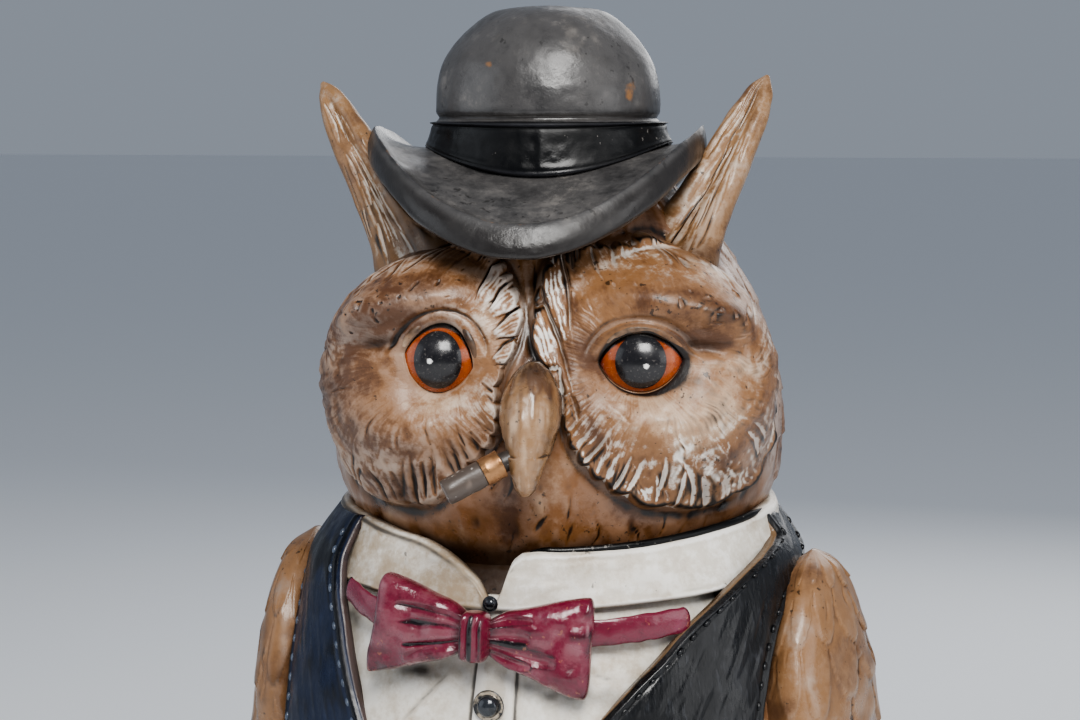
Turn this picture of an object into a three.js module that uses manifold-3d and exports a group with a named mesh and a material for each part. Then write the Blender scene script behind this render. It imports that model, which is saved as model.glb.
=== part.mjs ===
// A standing gentleman owl: a cast and painted figurine with a bowler hat, wing collar, bow tie, waistcoat
// and cigar, glued up from separate castings on a low round plinth. Millimetres, +Z up. The owl's body faces
// -Y and its own left is +X, its head is turned to its left, and the origin is under the middle of the felt.
import * as THREE from "three";
import { mergeVertices } from "three/addons/utils/BufferGeometryUtils.js";
import Module from "manifold-3d";

const wasm = await Module();
wasm.setup();

// Driving dimensions
const overallHeight = 300;
const depthShare = 0.96; // front-to-back size of torso, neck and head against side-to-side
const castWall = 6; // wall of the two hollow castings
const glueGap = 0.4; // left between neighbouring castings for the glue
const headTurn = THREE.MathUtils.degToRad(12); // to the owl's left
const plinthRadius = 56;
const plinthTop = 12;
const feltRadius = 50;
const feltThickness = 1.5;
const ventRadius = 5; // through the plinth, covered by the felt
const neckHeight = 183;
const neckBore = 28.5;
const spigotDepth = 11;
const collarTop = 188;
const collarBottom = 179.5;
const collarSlope = 0.09; // it dips towards the front
const bowHeight = 172;
const eyeHeight = 225.8;
const eyeSpacing = 42.4; // centre to centre
const brimHeight = 265.5; // at its middle, before it is curled
const brimHalfWidth = 36.4;
const brimHalfDepth = 47.5;
const crownRadius = 24;
const crownShift = -2; // the hat sits a little to the owl's right
const brimShift = -4;
const brimRoll = 2.7;
const cigarRadius = 2.65;

// Outlines, as [radius, height]
const torsoOutline = [
  [38, plinthTop + glueGap],
  [45, 30],
  [51.5, 52],
  [57, 82],
  [60, 115],
  [58.5, 143],
  [55, 158],
  [50.5, 169],
  [46, 177.5],
  [42, neckHeight],
];
const garmentOutline = [
  [53, 44],
  [57.5, 62],
  [60.8, 84],
  [63.2, 115],
  [62, 143],
  [59.5, 158],
  [56.6, 169],
  [54, 178],
  [51.4, 185],
  [49.6, 189.5],
];
const headOutline = [
  [40, neckHeight + glueGap],
  [42.8, 187.5],
  [44.9, 192],
  [47.4, 198],
  [48.6, 206],
  [48.6, 214],
  [46.4, 225],
  [42, 238],
  [36.6, 247],
  [28, 255],
  [15, 260.5],
];
const crownOutline = [
  [crownRadius + 1, 256],
  [crownRadius + 0.6, 266],
  [crownRadius, 276],
  [crownRadius - 0.2, 283.5],
  [crownRadius - 2.4, 290],
  [crownRadius - 6.6, 295.3],
  [crownRadius - 13.5, 299],
];

// Solids

function toSolid(geometry) {
  const bare = new THREE.BufferGeometry().setAttribute("position", geometry.getAttribute("position"));
  if (geometry.index) bare.setIndex(geometry.index);
  const merged = mergeVertices(bare, 1e-3);
  const corners = Uint32Array.from(merged.index.array);
  const kept = [];
  for (let i = 0; i < corners.length; i += 3) {
    const [a, b, c] = corners.subarray(i, i + 3);
    if (a !== b && b !== c && c !== a) kept.push(a, b, c);
  }
  const solidFrom = (triangles) =>
    new wasm.Manifold(
      new wasm.Mesh({
        numProp: 3,
        vertProperties: Float32Array.from(merged.attributes.position.array),
        triVerts: Uint32Array.from(triangles),
      }),
    );
  const solid = solidFrom(kept);
  return solid.volume() > 0 ? solid : solidFrom(kept.reverse());
}

function toGeometry(solid) {
  const mesh = solid.getMesh();
  const places = new Float32Array(mesh.numVert * 3);
  for (let i = 0; i < mesh.numVert; i++) {
    places.set(mesh.vertProperties.subarray(i * mesh.numProp, i * mesh.numProp + 3), i * 3);
  }
  const geometry = new THREE.BufferGeometry();
  geometry.setAttribute("position", new THREE.BufferAttribute(places, 3));
  geometry.setIndex(new THREE.BufferAttribute(mesh.triVerts, 1));
  geometry.computeVertexNormals();
  return geometry;
}

// The solid with its surface moved out by the gap, for cutting a neighbour clear of it.
function swell(solid, gap = glueGap) {
  const geometry = toGeometry(solid);
  const place = geometry.getAttribute("position");
  const normal = geometry.getAttribute("normal");
  for (let i = 0; i < place.count; i++) {
    place.setXYZ(
      i,
      place.getX(i) + normal.getX(i) * gap,
      place.getY(i) + normal.getY(i) * gap,
      place.getZ(i) + normal.getZ(i) * gap,
    );
  }
  geometry.deleteAttribute("normal");
  return toSolid(geometry);
}

function clearOf(solid, ...neighbours) {
  return neighbours.reduce((left, other) => left.subtract(swell(other)), solid);
}

// What is left after cutting, without the loose scraps.
const mainPart = (solid) => solid.decompose().sort((a, b) => b.volume() - a.volume())[0];

// A closed solid turned about Z from an outline of [radius, height] points, smoothed, moved out by grow.
function revolve(outline, { grow = 0, around = 36, along = 14, smooth = true } = {}) {
  const points = outline.map(([radius, height]) => new THREE.Vector2(radius, height));
  const curve = smooth ? new THREE.SplineCurve(points).getPoints(along) : points;
  const wall = curve.map((p) => new THREE.Vector2(Math.max(p.x + grow, 0), p.y));
  const [first, last] = [wall[0], wall[wall.length - 1]];
  const profile = [new THREE.Vector2(0, first.y), ...wall, new THREE.Vector2(0, last.y)];
  return new THREE.LatheGeometry(profile, around).rotateX(Math.PI / 2);
}

// A closed ring about Z whose section is the outline.
function hoop(outline, around = 48) {
  const loop = [...outline, outline[0]].map(([radius, height]) => new THREE.Vector2(radius, height));
  return new THREE.LatheGeometry(loop, around).rotateX(Math.PI / 2).scale(1, depthShare, 1);
}

const oval = (outline, options) => toSolid(revolve(outline, options).scale(1, depthShare, 1));

function ball([x, y, z], [radiusX, radiusY, radiusZ], turns = 20) {
  const geometry = new THREE.SphereGeometry(1, turns, Math.round(turns * 0.6));
  return toSolid(geometry.scale(radiusX, radiusY, radiusZ).translate(x, y, z));
}

function block([fromX, toX], [fromY, toY], [fromZ, toZ]) {
  const geometry = new THREE.BoxGeometry(toX - fromX, toY - fromY, toZ - fromZ);
  return toSolid(geometry.translate((fromX + toX) / 2, (fromY + toY) / 2, (fromZ + toZ) / 2));
}

// An outline in X and Z, run along Y between two places.
function prism(points, fromY, toY, bevel = 0, curved = false) {
  const corners = points.map(([x, z]) => new THREE.Vector2(x, z));
  const shape = new THREE.Shape();
  if (curved) shape.setFromPoints(new THREE.SplineCurve([...corners, corners[0]]).getPoints(28).slice(0, -1));
  else shape.setFromPoints(corners);
  const geometry = new THREE.ExtrudeGeometry(shape, {
    depth: toY - fromY - 2 * bevel,
    bevelEnabled: bevel > 0,
    bevelThickness: bevel,
    bevelSize: bevel,
    bevelOffset: -bevel,
    bevelSegments: 3,
  });
  return toSolid(geometry.translate(0, 0, bevel).rotateX(Math.PI / 2).translate(0, toY, 0));
}

const turned = (solid) => solid.rotate([0, 0, THREE.MathUtils.radToDeg(headTurn)]);

// Base and torso

function makeBase() {
  const felt = toSolid(revolve([[feltRadius, 0], [feltRadius, feltThickness]], { smooth: false }));
  const plinthOutline = [
    [plinthRadius - 2, feltThickness + glueGap],
    [plinthRadius, feltThickness + 2.3],
    [plinthRadius, plinthTop - 4],
    [plinthRadius - 1.2, plinthTop - 1.2],
    [plinthRadius - 4, plinthTop],
  ];
  const vent = revolve([[ventRadius, -1], [ventRadius, plinthTop + 1]], { smooth: false, around: 24 });
  return { felt, plinth: toSolid(revolve(plinthOutline, { smooth: false })).subtract(toSolid(vent)) };
}

function makeBody() {
  const outer = oval(torsoOutline);
  const hollow = torsoOutline.map(([radius, height]) => [radius, height]);
  hollow[0] = [torsoOutline[0][0], 0];
  hollow[hollow.length - 1] = [torsoOutline.at(-1)[0], neckHeight - castWall];
  const bore = revolve([[neckBore, neckHeight - 2 * castWall], [neckBore, neckHeight + 1]], { smooth: false });
  return outer.subtract(oval(hollow, { grow: -castWall, around: 28, along: 10 })).subtract(toSolid(bore));
}

function makeFoot(side, torso) {
  const footX = side * 20;
  const toes = [-1, 0, 1].map((spread) => {
    const toe = new THREE.SphereGeometry(1, 12, 7).scale(4.6, 15, 4.8).translate(0, -12, 0);
    toe.rotateZ(spread * 0.36 + side * 0.12).translate(footX, -34, plinthTop + 5.1);
    return toSolid(toe);
  });
  const heel = ball([footX, -33, plinthTop + 8], [11, 9, 7.6], 14);
  const foot = toes.reduce((whole, toe) => whole.add(toe), heel);
  return foot.subtract(block([-80, 80], [-80, 80], [0, plinthTop + glueGap])).subtract(torso);
}

function makeTail(neighbours) {
  const fan = [[-17, 78], [-24, 40], [-25, 18], [-14, 13], [14, 13], [25, 18], [24, 40], [17, 78]];
  const plate = prism(fan, -5, 5, 2).rotate([8, 0, 0]).translate([0, 64, 0]);
  return clearOf(plate.subtract(block([-80, 80], [-80, 90], [0, plinthTop + glueGap])), ...neighbours);
}

// Clothes

// The opening between the lapels, in X and Z.
const lapelOpening = [
  [2, 106],
  [-11, 121],
  [-21.5, 139],
  [-27.5, 152],
  [-33, 166],
  [-35.8, 176],
  [-36, 200],
  [56, 200],
  [52, 187],
  [42, 175],
  [33.5, 164.5],
  [25.4, 155],
  [14, 131],
];

function makeWaistcoat(torso) {
  const shell = oval(garmentOutline).subtract(oval(garmentOutline, { grow: -2.9 })).subtract(torso);
  const opening = prism(lapelOpening, -80, 0);
  const armholeOutline = [
    [-14, 96],
    [-27, 120],
    [-25, 150],
    [-13, 180],
    [8, 186],
    [30, 172],
    [38, 140],
    [30, 108],
  ];
  const armhole = prism(armholeOutline, -80, 80, 0, true).rotate([0, 0, 90]);
  const armholes = armhole.subtract(block([-25, 25], [-90, 90], [0, 300]));
  const hem = [[-70, 30], [-70, 62], [-40, 58], [-14, 46], [0, 56], [14, 46], [40, 58], [70, 62], [70, 30]];
  const cloth = shell.subtract(opening).subtract(armholes).subtract(prism(hem, -80, 80));
  const half = glueGap / 2;
  const seam = 6; // the side seams lie under the wings
  return {
    left: cloth.intersect(block([half, 90], [-90, seam - half], [0, 300])),
    right: cloth.intersect(block([-90, -half], [-90, seam - half], [0, 300])),
    back: cloth.intersect(block([-90, 90], [seam + half, 90], [0, 300])),
  };
}

function makeShirt(torso) {
  const shell = oval(torsoOutline, { grow: 2.2 }).subtract(torso);
  const front = block([-60, 60], [-90, 0], [0, neckHeight - 5]);
  return shell.intersect(prism(lapelOpening, -80, 0)).intersect(front);
}

function makeCollar(cloth) {
  const band = [
    [45.7, collarTop + 2.6],
    [48.6, collarBottom],
    [51.6, collarBottom - 0.6],
    [51.9, collarBottom + 0.6],
    [48.2, collarTop + 2.4],
    [47, collarTop + 3.3],
  ];
  const ring = hoop(band);
  const place = ring.getAttribute("position");
  for (let i = 0; i < place.count; i++) place.setZ(i, place.getZ(i) + collarSlope * place.getY(i));
  const parting = [
    [-2, 168],
    [-1.2, 176],
    [-5.5, 181],
    [-14, 186],
    [-24, 191],
    [-24, 200],
    [7, 200],
    [6, 186],
    [3.4, 181],
    [1.2, 176],
    [0, 168],
  ];
  const open = clearOf(toSolid(ring).subtract(prism(parting, -80, 0)), ...cloth);
  const half = glueGap / 2;
  return {
    left: open.intersect(block([half, 90], [-90, 90], [0, 300])),
    right: open.intersect(block([-90, -half], [-90, 90], [0, 300])),
  };
}

function makeStraps(neighbours) {
  const [low, high] = [bowHeight - 1.4, bowHeight + 2.6];
  const outline = [[53.4, low], [55.6, low], [55, high], [52.8, high]];
  const ring = toSolid(hoop(outline));
  const reach = { left: [22.4, 40], right: [-32, -21.6] };
  const strap = (side) => clearOf(ring.intersect(block(reach[side], [-90, 0], [0, 300])), ...neighbours);
  return { left: strap("left"), right: strap("right") };
}

function makeBow() {
  const loopOutline = [
    [3.2, -5],
    [9, -6.6],
    [20, -10.4],
    [22.6, -9.6],
    [23, 9.6],
    [20.4, 10.6],
    [9, 6.8],
    [3.2, 5],
  ];
  const loop = prism(loopOutline, -3.2, 3.2, 1.6);
  const place = (solid, tilt, lift) => solid.rotate([0, tilt, 0]).translate([0.6, 0, bowHeight + lift]);
  const left = place(loop.rotate([0, 0, 10]), 5, 0).translate([0, -58.6, 0]);
  const right = place(loop.mirror([1, 0, 0]).rotate([0, 0, -8]), 1, 0.6).translate([0, -58.8, 0]);
  const knotOutline = [[-2.6, -4.6], [2.6, -4.6], [3, 0], [2.6, 4.8], [-2.6, 4.8], [-3, 0]];
  const knot = place(prism(knotOutline, -3.8, 3.8, 1.6), 4, 0);
  return { left, right, knot: knot.translate([0, -60.4, 0]) };
}

function makeStud([x, y, z], radius) {
  const dome = new THREE.SphereGeometry(1, 16, 10).scale(radius, radius * 0.75, radius);
  return toSolid(dome.translate(x, y, z));
}

function makeWaistcoatButtons() {
  return [98, 84, 70].map((height, i) => {
    const disc = revolve([[2.6, 0], [3.1, 0.6], [3.1, 1.5], [2.5, 2.2]], { smooth: false, around: 20 });
    return toSolid(disc.rotateX(Math.PI / 2).translate(-3.6, -[60.9, 59.7, 58.2][i], height));
  });
}

// Wings, as long drops that lie against the torso and show through the armholes

function makeWing(side, neighbours) {
  const drop = [[0.5, 46], [5, 54], [15, 84], [25, 112], [31, 140], [27, 158], [16, 171], [0.5, 178]];
  const form = revolve(drop, { around: 28, along: 12 }).scale(0.38, 1, 1);
  const place = form.getAttribute("position");
  for (let i = 0; i < place.count; i++) {
    const fall = 150 - place.getZ(i);
    place.setX(i, side * (place.getX(i) + 58 + 0.02 * fall));
    place.setY(i, place.getY(i) + 5 + 0.14 * fall); // swept back towards the tip
  }
  return clearOf(toSolid(form), ...neighbours);
}

// Head, in its own frame facing -Y, turned when it is done

const eyePlace = (side) => [side * eyeSpacing * 0.5, -36.8, eyeHeight];
const makeEye = (side) => ball(eyePlace(side), [10.4, 9, 8.6]);

function makeHead(eyes) {
  const skull = oval([...headOutline, [4, overallHeight - 38]]);
  const disc = (side) => ball([side * 20.6, -24.6, 220.6], [26.2, 23.6, 28.2], 20);
  const plug = neckBore - glueGap;
  const spigot = revolve([[plug, neckHeight - spigotDepth], [plug, neckHeight + 3]], { smooth: false });
  const solid = skull.add(disc(1)).add(disc(-1)).add(toSolid(spigot));
  const throatRadius = neckBore - castWall;
  const core = headOutline.map(([radius, height]) => [radius - castWall, height]);
  core[0] = [throatRadius, neckHeight + castWall];
  const hollow = oval([...core.slice(0, -2), [20, 249], [8, 254]], { around: 28, along: 10 });
  const [throatFoot, throatTop] = [neckHeight - spigotDepth - 1, neckHeight + castWall + 4];
  const throat = revolve([[throatRadius, throatFoot], [throatRadius, throatTop]], { smooth: false });
  const dish = (side) => ball([side * eyeSpacing * 0.5, -49.4, eyeHeight], [11, 6.6, 9.4]);
  const open = solid.subtract(hollow).subtract(toSolid(throat)).subtract(dish(1)).subtract(dish(-1));
  return clearOf(open, ...eyes);
}

function makeBeak(head) {
  const outline = [[0.4, -17], [1.6, -15], [4, -8], [6, -1], [6.2, 3], [5, 8], [2.6, 11.4], [0.4, 12.6]];
  const bill = revolve(outline, { around: 20, along: 12 }).scale(1, 1.25, 1).rotateX(0.1);
  return toSolid(bill.translate(-1.2, -54, 217)).subtract(swell(head));
}

function makeCigar(neighbours) {
  const tip = new THREE.Vector3(-17.8, -60.2, 201);
  const mouth = new THREE.Vector3(-3, -56.4, 208.8);
  const length = tip.distanceTo(mouth);
  const aim = new THREE.Quaternion().setFromUnitVectors(
    new THREE.Vector3(0, 0, 1),
    mouth.clone().sub(tip).normalize(),
  );
  const place = (geometry) => toSolid(geometry.applyQuaternion(aim).translate(tip.x, tip.y, tip.z));
  const bandFrom = 8.6;
  const bandLength = 4.2;
  const neck = cigarRadius - 0.55;
  const outline = [
    [cigarRadius - 0.3, 0],
    [cigarRadius, 0.4],
    [cigarRadius, bandFrom - glueGap],
    [neck, bandFrom - glueGap],
    [neck, length],
  ];
  const band = [
    [neck + glueGap, bandFrom],
    [cigarRadius + 0.2, bandFrom],
    [cigarRadius + 0.2, bandFrom + bandLength],
    [neck + glueGap, bandFrom + bandLength],
  ];
  const sleeve = hoop(band, 24).scale(1, 1 / depthShare, 1);
  return {
    stick: clearOf(place(revolve(outline, { smooth: false, around: 24 })), ...neighbours),
    band: clearOf(place(sleeve), ...neighbours),
  };
}

// The brim is a flat disc with a rolled edge, curled up at the sides and down to the front and back.
function makeBrim() {
  const edge = [];
  for (let turn = -80; turn <= 80; turn += 32) {
    const angle = THREE.MathUtils.degToRad(turn);
    edge.push(new THREE.Vector2(brimHalfWidth - brimRoll * (1 - Math.cos(angle)), brimRoll * Math.sin(angle)));
  }
  const under = [14, 24, 30].map((radius) => new THREE.Vector2(radius, -1.5));
  const upper = [30, 24, 14].map((radius) => new THREE.Vector2(radius, 1.5));
  const profile = [new THREE.Vector2(0, -1.5), ...under, ...edge, ...upper, new THREE.Vector2(0, 1.5)];
  const brim = new THREE.LatheGeometry(profile, 40).rotateX(Math.PI / 2);
  brim.scale(1, brimHalfDepth / brimHalfWidth, 1);
  const place = brim.getAttribute("position");
  for (let i = 0; i < place.count; i++) {
    const across = place.getX(i) / brimHalfWidth;
    const along = place.getY(i) / brimHalfDepth;
    place.setZ(i, place.getZ(i) + 6.5 * across ** 2 - 16.5 * along ** 2);
  }
  return toSolid(brim.translate(brimShift, -3, brimHeight));
}

function makeHat(brim, head) {
  const crown = toSolid(revolve([...crownOutline, [2, overallHeight]])).translate([crownShift, 0, 0]);
  return clearOf(brim.add(crown), head);
}

function makeRibbon(brim) {
  const outline = [
    [crownRadius - 2, 258],
    [crownRadius + 2.6, 260],
    [crownRadius + 1.9, 268],
    [crownRadius + 1.5, 274.6],
    [crownRadius - 2, 275.2],
  ];
  const ring = toSolid(revolve(outline, { smooth: false }).translate(crownShift, 0, 0));
  const core = toSolid(revolve(crownOutline, { grow: glueGap }).translate(crownShift, 0, 0));
  return ring.subtract(core).subtract(brim.translate([0, 0, glueGap]));
}

function makeEar(side, neighbours) {
  const outline = [
    [0.5, -6],
    [7, -4],
    [8.2, 2],
    [7.2, 10],
    [6.2, 20],
    [5.2, 30],
    [4, 37],
    [2.2, 42.5],
    [0.5, 45],
  ];
  const horn = revolve(outline, { around: 20, along: 10 }).scale(0.95, 0.66, 1);
  const place = horn.getAttribute("position");
  for (let i = 0; i < place.count; i++) {
    const rise = place.getZ(i) / 45;
    place.setX(i, place.getX(i) + side * 2 * (rise - rise ** 2)); // bowed outwards
  }
  const base = new THREE.Vector3(-1.6 + side * 28.6, -18, 248);
  const tip = new THREE.Vector3(-3.6 + side * 48.9, 0, 284.4);
  const aim = new THREE.Quaternion().setFromUnitVectors(
    new THREE.Vector3(0, 0, 1),
    tip.clone().sub(base).normalize(),
  );
  return clearOf(toSolid(horn.applyQuaternion(aim).translate(base.x, base.y, base.z)), ...neighbours);
}

// Assembly

const paint = {
  feather: new THREE.MeshStandardMaterial({ color: 0x8a6342, roughness: 0.55 }),
  wing: new THREE.MeshStandardMaterial({ color: 0xa9794e, roughness: 0.6 }),
  beak: new THREE.MeshStandardMaterial({ color: 0xb08a60, roughness: 0.3 }),
  eye: new THREE.MeshStandardMaterial({ color: 0xb4541c, roughness: 0.12 }),
  hat: new THREE.MeshStandardMaterial({ color: 0x6a6866, roughness: 0.42 }),
  ribbon: new THREE.MeshStandardMaterial({ color: 0x0d0d10, roughness: 0.3 }),
  linen: new THREE.MeshStandardMaterial({ color: 0xd8d2c6, roughness: 0.5 }),
  tie: new THREE.MeshStandardMaterial({ color: 0x7a1c30, roughness: 0.32 }),
  waistcoat: new THREE.MeshStandardMaterial({ color: 0x14181f, roughness: 0.38 }),
  stud: new THREE.MeshStandardMaterial({ color: 0x3c3f44, roughness: 0.2 }),
  cigar: new THREE.MeshStandardMaterial({ color: 0x6b625e, roughness: 0.4 }),
  brass: new THREE.MeshStandardMaterial({ color: 0xa9713c, roughness: 0.35, metalness: 0.8 }),
  plinth: new THREE.MeshStandardMaterial({ color: 0x3a2618, roughness: 0.5 }),
  felt: new THREE.MeshStandardMaterial({ color: 0x1f3a2a, roughness: 1 }),
};

const owl = new THREE.Group();

function addNode(name, solid, material) {
  const mesh = new THREE.Mesh(toGeometry(mainPart(solid)), material);
  mesh.name = name;
  owl.add(mesh);
}

const base = makeBase();
const bodyForm = oval(torsoOutline, { grow: glueGap });
const body = makeBody();
const waistcoat = makeWaistcoat(bodyForm);
const cloth = [waistcoat.left, waistcoat.right, waistcoat.back];
const eyes = [makeEye(1), makeEye(-1)];
const head = makeHead(eyes);
const beak = makeBeak(head);
const brim = makeBrim();
const hat = makeHat(brim, head);
const ears = [1, -1].map((side) => makeEar(side, [head, hat]));
const cigar = makeCigar([head, beak]);
const turnedHead = turned(head);
const collar = makeCollar([...cloth, turnedHead]);
const collarStud = clearOf(makeStud([0, -49.6, 178.6], 2.1), turnedHead, collar.left, collar.right);
const bow = makeBow();
const shirt = clearOf(makeShirt(bodyForm), ...cloth, collar.left, collar.right, collarStud);
const knot = bow.knot;
const bowLeft = clearOf(bow.left, knot, shirt, collar.left);
const bowRight = clearOf(bow.right, knot, shirt, collar.right);
const straps = makeStraps([shirt, collar.left, collar.right, bowLeft, bowRight, ...cloth]);

addNode("felt_pad", base.felt, paint.felt);
addNode("base_plinth", base.plinth, paint.plinth);
addNode("body_casting", body, paint.feather);
addNode("left_foot", makeFoot(1, bodyForm), paint.beak);
addNode("right_foot", makeFoot(-1, bodyForm), paint.beak);
addNode("tail", makeTail([bodyForm, waistcoat.back]), paint.wing);
addNode("waistcoat_left_front", waistcoat.left, paint.waistcoat);
addNode("waistcoat_right_front", waistcoat.right, paint.waistcoat);
addNode("waistcoat_back", waistcoat.back, paint.waistcoat);
makeWaistcoatButtons().forEach((button, i) => {
  addNode(`waistcoat_button_${i + 1}`, clearOf(button, waistcoat.right), paint.stud);
});
addNode("shirt_front", shirt, paint.linen);
addNode("collar_left", collar.left, paint.linen);
addNode("collar_right", collar.right, paint.linen);
addNode("collar_stud", collarStud, paint.stud);
addNode("shirt_stud_upper", clearOf(makeStud([2.4, -56.4, 157.3], 2.7), shirt), paint.stud);
addNode("shirt_stud_lower", clearOf(makeStud([1.6, -59.4, 137], 2.7), shirt), paint.stud);
addNode("bow_loop_left", bowLeft, paint.tie);
addNode("bow_loop_right", bowRight, paint.tie);
addNode("bow_knot", knot, paint.tie);
addNode("neck_strap_left", straps.left, paint.tie);
addNode("neck_strap_right", straps.right, paint.tie);
addNode("left_wing", makeWing(1, [bodyForm, ...cloth, collar.left]), paint.wing);
addNode("right_wing", makeWing(-1, [bodyForm, ...cloth, collar.right]), paint.wing);
addNode("head_casting", turnedHead, paint.feather);
addNode("left_ear_tuft", turned(ears[0]), paint.wing);
addNode("right_ear_tuft", turned(ears[1]), paint.wing);
addNode("left_eye", turned(eyes[0]), paint.eye);
addNode("right_eye", turned(eyes[1]), paint.eye);
addNode("beak", turned(beak), paint.beak);
addNode("cigar", turned(cigar.stick), paint.cigar);
addNode("cigar_band", turned(cigar.band), paint.brass);
addNode("bowler_hat", turned(hat), paint.hat);
addNode("hat_ribbon", turned(makeRibbon(brim)), paint.ribbon);

export default owl;
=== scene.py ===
import bmesh
import bpy
import numpy as np
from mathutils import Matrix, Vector


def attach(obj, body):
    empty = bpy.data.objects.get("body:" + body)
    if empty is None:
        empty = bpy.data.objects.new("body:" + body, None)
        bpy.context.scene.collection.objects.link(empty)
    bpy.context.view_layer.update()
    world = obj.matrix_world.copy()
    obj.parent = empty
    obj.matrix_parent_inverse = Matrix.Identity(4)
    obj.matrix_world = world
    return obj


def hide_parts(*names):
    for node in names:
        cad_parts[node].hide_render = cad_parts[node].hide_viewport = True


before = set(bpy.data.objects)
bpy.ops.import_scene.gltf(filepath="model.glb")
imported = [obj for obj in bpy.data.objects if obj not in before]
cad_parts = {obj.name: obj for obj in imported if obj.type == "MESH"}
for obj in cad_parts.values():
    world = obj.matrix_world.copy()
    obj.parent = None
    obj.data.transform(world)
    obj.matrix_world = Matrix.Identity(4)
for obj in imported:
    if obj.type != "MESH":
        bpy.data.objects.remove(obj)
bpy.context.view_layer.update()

print("frame loaded:", len(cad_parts), "castings")

# Pieces are worked out in millimetres on numpy arrays and scaled once, when each is made.
# The owl faces -y and its left is +x. The stage, lamps and camera are in metres.
mm = 0.001
headTurn = np.radians(12)  # towards the owl's left
depthShare = 0.96  # front to back over side to side, in head and torso
eyeLevel = 226.3
sideOf = {"left": 1, "right": -1}


# small tools

def places(x, y, z):
    return np.stack(np.broadcast_arrays(x, y, z), -1)


def around(columns, start=0.0):
    return np.linspace(start, start + 2 * np.pi, columns, endpoint=False)[None, :]


def down(rows, first=0.0, last=1.0):
    return np.linspace(first, last, rows)[:, None]


def ease(value, low, high):
    # 0 at low, 1 at high, smooth between
    t = np.clip((value - low) / (high - low), 0, 1)
    return t * t * (3 - 2 * t)


def bell(value, middle, width):
    return np.exp(-((value - middle) / width) ** 2)


def curve(value, pairs):
    # a smooth line through [place, amount] pairs
    x, y = np.array(pairs, float).T
    slope = np.gradient(y, x)
    value = np.clip(value, x[0], x[-1])
    i = np.clip(np.searchsorted(x, value) - 1, 0, len(x) - 2)
    step = x[i + 1] - x[i]
    t = (value - x[i]) / step
    return ((2 * t**3 - 3 * t**2 + 1) * y[i] + (t**3 - 2 * t**2 + t) * step * slope[i]
            + (3 * t**2 - 2 * t**3) * y[i + 1] + (t**3 - t**2) * step * slope[i + 1])


def roundCurve(degrees, pairs):
    # the same, closed on itself after 360 degrees
    closed = [[a - 360, r] for a, r in pairs[-2:]] + pairs + [[a + 360, r] for a, r in pairs[:2]]
    return curve(np.mod(degrees, 360), closed)


def lumps(points, size, seed):
    # smooth seeded noise from -1 to 1, lumps about size across
    side = 32
    lattice = np.random.default_rng(seed).uniform(-1, 1, (side, side, side))
    p = np.asarray(points, float) / size
    cell = np.floor(p).astype(int)
    f = p - cell
    f = f * f * (3 - 2 * f)
    total = 0
    for corner in np.ndindex(2, 2, 2):
        weight = np.prod([f[..., k] if corner[k] else 1 - f[..., k] for k in range(3)], axis=0)
        total = total + weight * lattice[tuple((cell[..., k] + corner[k]) % side for k in range(3))]
    return total


def spot(x, y, at, radii, tilt=0):
    # a soft round hill of height 1
    c, s = np.cos(np.radians(tilt)), np.sin(np.radians(tilt))
    dx, dy = x - at[0], y - at[1]
    return np.exp(-(((dx * c + dy * s) / radii[0]) ** 2 + ((dy * c - dx * s) / radii[1]) ** 2))


def groove(x, y, start, end, width, bend=0.0):
    # a tapered chisel cut from start to end, 1 at its bottom
    start, end = np.array(start, float), np.array(end, float)
    along = end - start
    length = np.hypot(*along)
    along = along / length
    t = ((x - start[0]) * along[0] + (y - start[1]) * along[1]) / length
    off = (x - start[0]) * -along[1] + (y - start[1]) * along[0] - bend * length * 4 * t * (1 - t)
    taper = np.sqrt(np.clip(4 * t * (1 - t), 0, 1))
    return taper * np.clip(1 - np.abs(off) / (width * (0.35 + 0.65 * taper)), 0, 1)


def normalsOf(points, wrap):
    along = np.gradient(points, axis=0)
    if wrap:
        across = (np.roll(points, -1, 1) - np.roll(points, 1, 1)) / 2
    else:
        across = np.gradient(points, axis=1)
    n = np.cross(across, along)
    return n / np.maximum(np.linalg.norm(n, axis=2, keepdims=True), 1e-9)


def soften(points, wrap, passes):
    p = points.copy()
    for _ in range(passes):
        up, low = np.vstack([p[:1], p[:-1]]), np.vstack([p[1:], p[-1:]])
        if wrap:
            left, right = np.roll(p, 1, 1), np.roll(p, -1, 1)
        else:
            left, right = np.hstack([p[:, :1], p[:, :-1]]), np.hstack([p[:, 1:], p[:, -1:]])
        p = (up + low + left + right) / 4
    return p


def reliefOf(points, wrap, depth=0.12, passes=14):
    # -1 in a cut, +1 on a ridge, from how far the surface stands off its own softened copy
    wide = soften(points, wrap, passes)
    stand = ((points - wide) * normalsOf(wide, wrap)).sum(2) / depth
    return np.clip(stand, -1, 1)


# making pieces

def finishPiece(name, points, faces, paint, stands, marks):
    mesh = bpy.data.meshes.new(name)
    mesh.from_pydata((np.asarray(points).reshape(-1, 3) * mm).tolist(), [], faces)
    for key, values in marks.items():
        layer = mesh.attributes.new(key, "FLOAT", "POINT")
        layer.data.foreach_set("value", np.asarray(values, np.float32).ravel())
    shape = bmesh.new()
    shape.from_mesh(mesh)
    bmesh.ops.recalc_face_normals(shape, faces=shape.faces)
    shape.to_mesh(mesh)
    shape.free()
    mesh.shade_smooth()
    mesh.materials.append(paint)
    piece = bpy.data.objects.new(name, mesh)
    bpy.context.scene.collection.objects.link(piece)
    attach(piece, "root")
    if stands:
        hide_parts(*stands)
    return piece


def skinFaces(rows, cols, wrap, first=0):
    r, c = np.meshgrid(np.arange(rows - 1), np.arange(cols if wrap else cols - 1), indexing="ij")
    here, there = first + r * cols, first + (r + 1) * cols
    after = (c + 1) % cols
    return np.stack([here + c, here + after, there + after, there + c], -1).reshape(-1, 4).tolist()


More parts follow.
